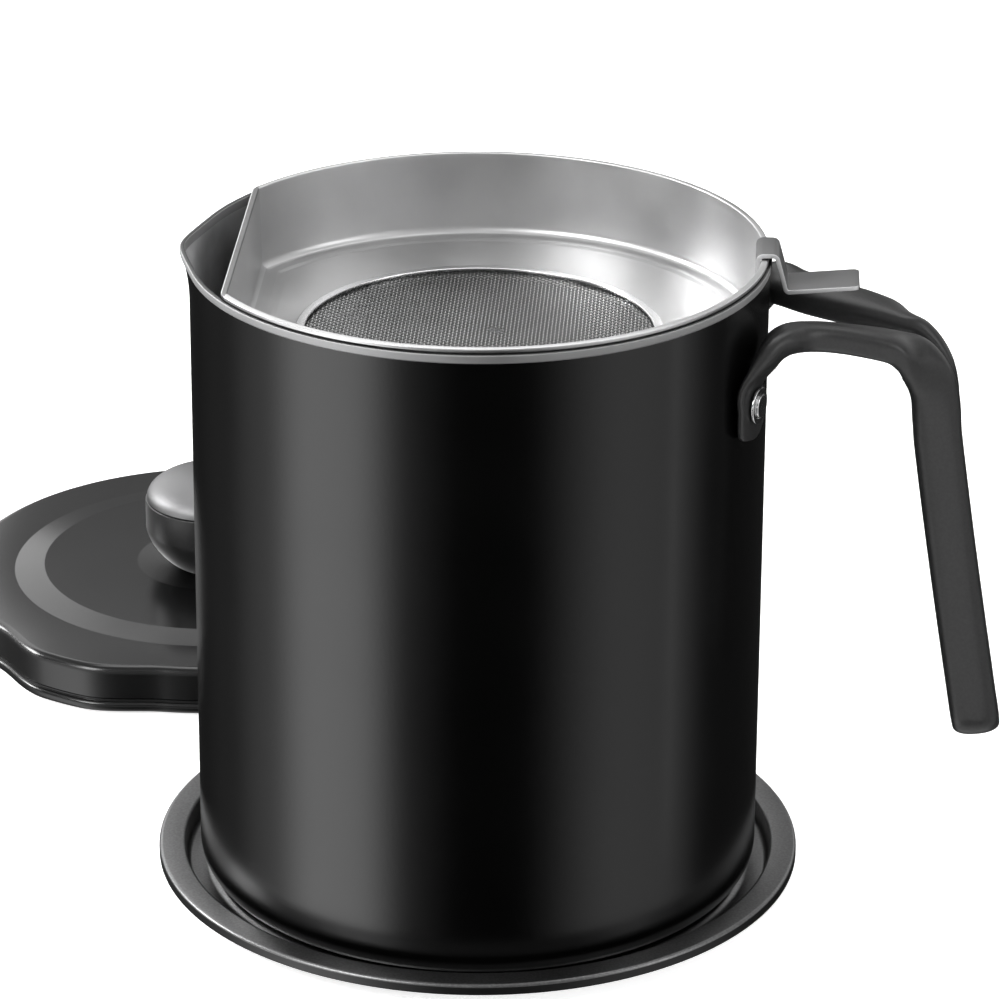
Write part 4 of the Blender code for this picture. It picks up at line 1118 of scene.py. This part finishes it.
# Round cards: radius, foot and top, then (degrees from the camera's side, light)
# Flat cards: left, right, how far back, foot and top, then (height, light)
CARDS = (
    ("reflection_wall", (1.6, -3.0, 0.08), (
        (-150, 0.02), (-118, 0.10), (-92, 0.55), (-70, 2.7), (-50, 2.7), (-28, 0.2), (-8, 0.0),
        (18, 0.0), (56, 0.8), (78, 0.65), (104, 0.03), (150, 0.02))),
    ("lid_card", (-0.24, -0.05, 0.62, 0.0, 0.65), (
        (0.0, 0.2), (0.1, 0.25), (0.19, 0.36), (0.238, 0.42), (0.27, 0.8), (0.31, 0.6),
        (0.43, 0.6), (0.50, 3.0), (0.65, 3.0))),
    ("lid_side_card", (-0.9, -0.24, 0.62, 0.0, 0.65), (
        (0.0, 0.8), (0.15, 2.2), (0.40, 2.2), (0.48, 3.0), (0.65, 3.0))),
    ("tab_card", (0.05, 0.30, 0.62, 0.15, 0.60), ((0.15, 0.3), (0.60, 0.3))),
    ("rim_card", (-0.12, 0.12, 0.24, 0.156, 0.212), ((0.156, 0.03), (0.205, 0.03), (0.212, 0.5))),
    ("handle_card", (0.082, 0.140, -0.05, 0.0, 0.145), ((0.0, 1.3), (0.145, 1.3))),
    ("front_card", (1.9, 0.45, 1.6), ((-125, 1.0), (-85, 0.22), (85, 0.22), (125, 1.0))),
)
CEILING_REACH, CEILING_Z, CEILING_LIGHT = 1.6, 1.8, 0.5
# Softboxes: place, what it is aimed at, width and height, power, and whether reflections show it
SOFTBOXES = (
    ("handle_softbox", (0.75, -1.15, 0.70), (0.11, 0, 0.08), (0.4, 0.4), 5, False),
    ("key_softbox", (-0.95, -0.85, 1.05), (0, 0, 0.10), (0.7, 0.7), 16, True),
    ("left_softbox", (-1.42, 0.42, 0.75), (0, 0, 0.14), (0.5, 0.45), 18, True),
    ("top_softbox", (0.1, 0.45, 1.45), (0, 0.05, 0.05), (1.1, 0.9), 9, True),
    ("side_softbox", (1.15, -0.45, 0.75), (0.05, 0, 0.08), (0.5, 0.8), 4, True),
)


def light_path_share(tree):
    """1 for camera, glossy and transmission rays, 0 for the others."""
    path = add_node(tree, "ShaderNodeLightPath")
    first = add_node(tree, "ShaderNodeMath", operation="MAXIMUM")
    second = add_node(tree, "ShaderNodeMath", operation="MAXIMUM")
    tree.links.new(path.outputs["Is Camera Ray"], first.inputs[0])
    tree.links.new(path.outputs["Is Glossy Ray"], first.inputs[1])
    tree.links.new(first.outputs[0], second.inputs[0])
    tree.links.new(path.outputs["Is Transmission Ray"], second.inputs[1])
    return second.outputs[0]


def softbox(name, place, aim, spans, power, shown):
    """A rectangular soft lamp."""
    data = bpy.data.lights.new(name, "AREA")
    data.shape = "RECTANGLE"
    data.size, data.size_y = spans
    data.energy = power
    lamp = bpy.data.objects.new(name, data)
    bpy.context.scene.collection.objects.link(lamp)
    lamp.location = place
    lamp.rotation_euler = (Vector(aim) - Vector(place)).to_track_quat("-Z", "Y").to_euler()
    lamp.visible_camera = False
    lamp.visible_glossy = shown


def glow_card(name, verts, faces, stops, span=None):
    """A card that only reflections see, lit by its height in a span or by its direction."""
    card = link_mesh(name, verts, faces)
    material, tree, shader = new_material(name)
    tree.nodes.remove(shader)
    place = add_node(tree, "ShaderNodeTexCoord")
    ramp = add_node(tree, "ShaderNodeValToRGB")
    ramp.color_ramp.interpolation = "EASE"
    elements = ramp.color_ramp.elements
    peak = max(light for _, light in stops)
    for index, (spot, light) in enumerate(stops):
        spot = (spot - span[0]) / (span[1] - span[0]) if span else spot / 360 + 0.5
        element = elements[index] if index < 2 else elements.new(spot)
        element.position = spot
        element.color = (*[light / peak] * 3, 1)
    if span:
        parts = add_node(tree, "ShaderNodeSeparateXYZ")
        level = add_node(tree, "ShaderNodeMapRange", from_min=span[0], from_max=span[1])
        tree.links.new(place.outputs["Object"], parts.inputs["Vector"])
        tree.links.new(parts.outputs["Z"], level.inputs["Value"])
        tree.links.new(level.outputs["Result"], ramp.inputs["Fac"])
    else:
        radial = add_node(tree, "ShaderNodeTexGradient", gradient_type="RADIAL")
        tree.links.new(place.outputs["Object"], radial.inputs["Vector"])
        tree.links.new(radial.outputs["Color"], ramp.inputs["Fac"])
    glow = add_node(tree, "ShaderNodeEmission", strength=peak)
    tree.links.new(ramp.outputs["Color"], glow.inputs["Color"])
    tree.links.new(glow.outputs[0], tree.nodes["Material Output"].inputs["Surface"])
    card.data.materials.append(material)
    card.visible_camera = card.visible_diffuse = card.visible_shadow = False
    card.visible_transmission = card.visible_volume_scatter = False


def round_card(name, radius, low, high, stops):
    """A round upright card about the object, lit by direction from the camera's side."""
    angles = even_angles(CARD_STEPS)
    verts = [(radius * math.cos(a), radius * math.sin(a), z) for z in (low, high) for a in angles]
    faces = []
    for index in range(CARD_STEPS):
        after = (index + 1) % CARD_STEPS
        faces.append((index, after, CARD_STEPS + after, CARD_STEPS + index))
    turned = sorted((math.remainder(CAMERA_SIDE + away, 360), light) for away, light in stops)
    seam = turned[0][1]
    glow_card(name, verts, faces, [(-180, seam), *turned, (180, seam)])


def flat_card(name, left, right, back, low, high, stops):
    """An upright card that faces the camera, lit by height."""
    verts = [(left, back, low), (right, back, low), (right, back, high), (left, back, high)]
    glow_card(name, verts, [(0, 1, 2, 3)], stops, (low, high))


def level_square(reach, height):
    """Corners of a level square about the origin, and its face."""
    corners = [(-reach, -reach, height), (reach, -reach, height), (reach, reach, height),
               (-reach, reach, height)]
    return corners, [(0, 1, 2, 3)]


class KEEPER_OT_studio(bpy.types.Operator):
    """Set up the floor, white surround, reflection cards, soft lamps and camera"""
    bl_idname = "keeper.studio"
    bl_label = "Studio"

    def execute(self, context):
        scene = context.scene
        floor = link_mesh("floor", *level_square(FLOOR_REACH, FLOOR_Z))
        floor.visible_glossy = False
        material, tree, shader = new_material("pale_floor")
        shader.inputs["Base Color"].default_value = (*scene.keeper.finish.floor, 1)
        shader.inputs["Roughness"].default_value = FLOOR_ROUGHNESS
        shader.inputs["Specular IOR Level"].default_value = 0.0
        glow = add_node(tree, "ShaderNodeEmission")
        add = add_node(tree, "ShaderNodeAddShader")
        mix = add_node(tree, "ShaderNodeMath", operation="MULTIPLY")
        mix.inputs[1].default_value = FLOOR_GLOW
        tree.links.new(light_path_share(tree), mix.inputs[0])
        tree.links.new(mix.outputs[0], glow.inputs["Strength"])
        tree.links.new(shader.outputs[0], add.inputs[0])
        tree.links.new(glow.outputs[0], add.inputs[1])
        tree.links.new(add.outputs[0], tree.nodes["Material Output"].inputs["Surface"])
        floor.data.materials.append(material)

        world = bpy.data.worlds.new("white_surround")
        scene.world = world
        world.use_nodes = True
        tree = world.node_tree
        back = tree.nodes["Background"]
        back.inputs["Color"].default_value = (1, 1, 1, 1)
        level = add_node(tree, "ShaderNodeMapRange", to_min=WORLD_LIGHT, to_max=WORLD_WHITE)
        tree.links.new(light_path_share(tree), level.inputs["Value"])
        tree.links.new(level.outputs["Result"], back.inputs["Strength"])

        for name, place, stops in CARDS:
            make_card = flat_card if len(place) == 5 else round_card
            make_card(name, *place, stops)
        glow_card("ceiling_card", *level_square(CEILING_REACH, CEILING_Z),
                  ((0, CEILING_LIGHT), (CEILING_Z, CEILING_LIGHT)), (0, CEILING_Z))
        for name, *settings in SOFTBOXES:
            softbox(name, *settings)

        data = bpy.data.cameras.new("camera")
        camera = bpy.data.objects.new("camera", data)
        scene.collection.objects.link(camera)
        aim = Vector(CAMERA_AIM).normalized()
        right = aim.cross(Vector((0, 0, 1))).normalized()
        up = right.cross(aim)
        side = right * math.cos(CAMERA_ROLL) + up * math.sin(CAMERA_ROLL)
        top = up * math.cos(CAMERA_ROLL) - right * math.sin(CAMERA_ROLL)
        turned = Matrix((side, top, -aim)).transposed().to_4x4()
        camera.matrix_world = Matrix.Translation(CAMERA_PLACE) @ turned
        data.lens, data.sensor_width = CAMERA_LENS, CAMERA_SENSOR
        data.clip_start, data.clip_end = CAMERA_CLIP
        scene.camera = camera
        scene.view_settings.view_transform = "Standard"
        return {"FINISHED"}


class KEEPER_PT_panel(bpy.types.Panel):
    """Lists the pieces and their sizes"""
    bl_idname = "KEEPER_PT_panel"
    bl_label = "Grease keeper"
    bl_space_type = "VIEW_3D"
    bl_region_type = "UI"
    bl_category = "Keeper"

    def draw(self, context):
        keeper = context.scene.keeper
        for operator in OPERATORS:
            self.layout.operator(operator.bl_idname)
        for group in ("tray", "pot", "handle", "strainer", "lid", "finish"):
            box = self.layout.box()
            box.label(text=group.title())
            settings = getattr(keeper, group)
            for name in settings.__annotations__:
                box.prop(settings, name)


GROUPS = (TraySizes, PotSizes, HandleSizes, StrainerSizes, LidSizes, Finishes, KeeperSettings)
OPERATORS = (KEEPER_OT_drip_tray, KEEPER_OT_pot, KEEPER_OT_handle, KEEPER_OT_rivets,
             KEEPER_OT_strainer_basket, KEEPER_OT_wire_cloth, KEEPER_OT_lifting_tab, KEEPER_OT_lid,
             KEEPER_OT_knob, KEEPER_OT_studio)


def register():
    for group in (*GROUPS, *OPERATORS, KEEPER_PT_panel):
        bpy.utils.register_class(group)
    bpy.types.Scene.keeper = PointerProperty(type=KeeperSettings)


def unregister():
    del bpy.types.Scene.keeper
    for group in reversed((*GROUPS, *OPERATORS, KEEPER_PT_panel)):
        bpy.utils.unregister_class(group)


def main():
    """Register the add-on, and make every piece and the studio."""
    register()
    for operator in OPERATORS:
        family, name = operator.bl_idname.split(".")
        getattr(getattr(bpy.ops, family), name)()


if __name__ == "__main__":
    main()
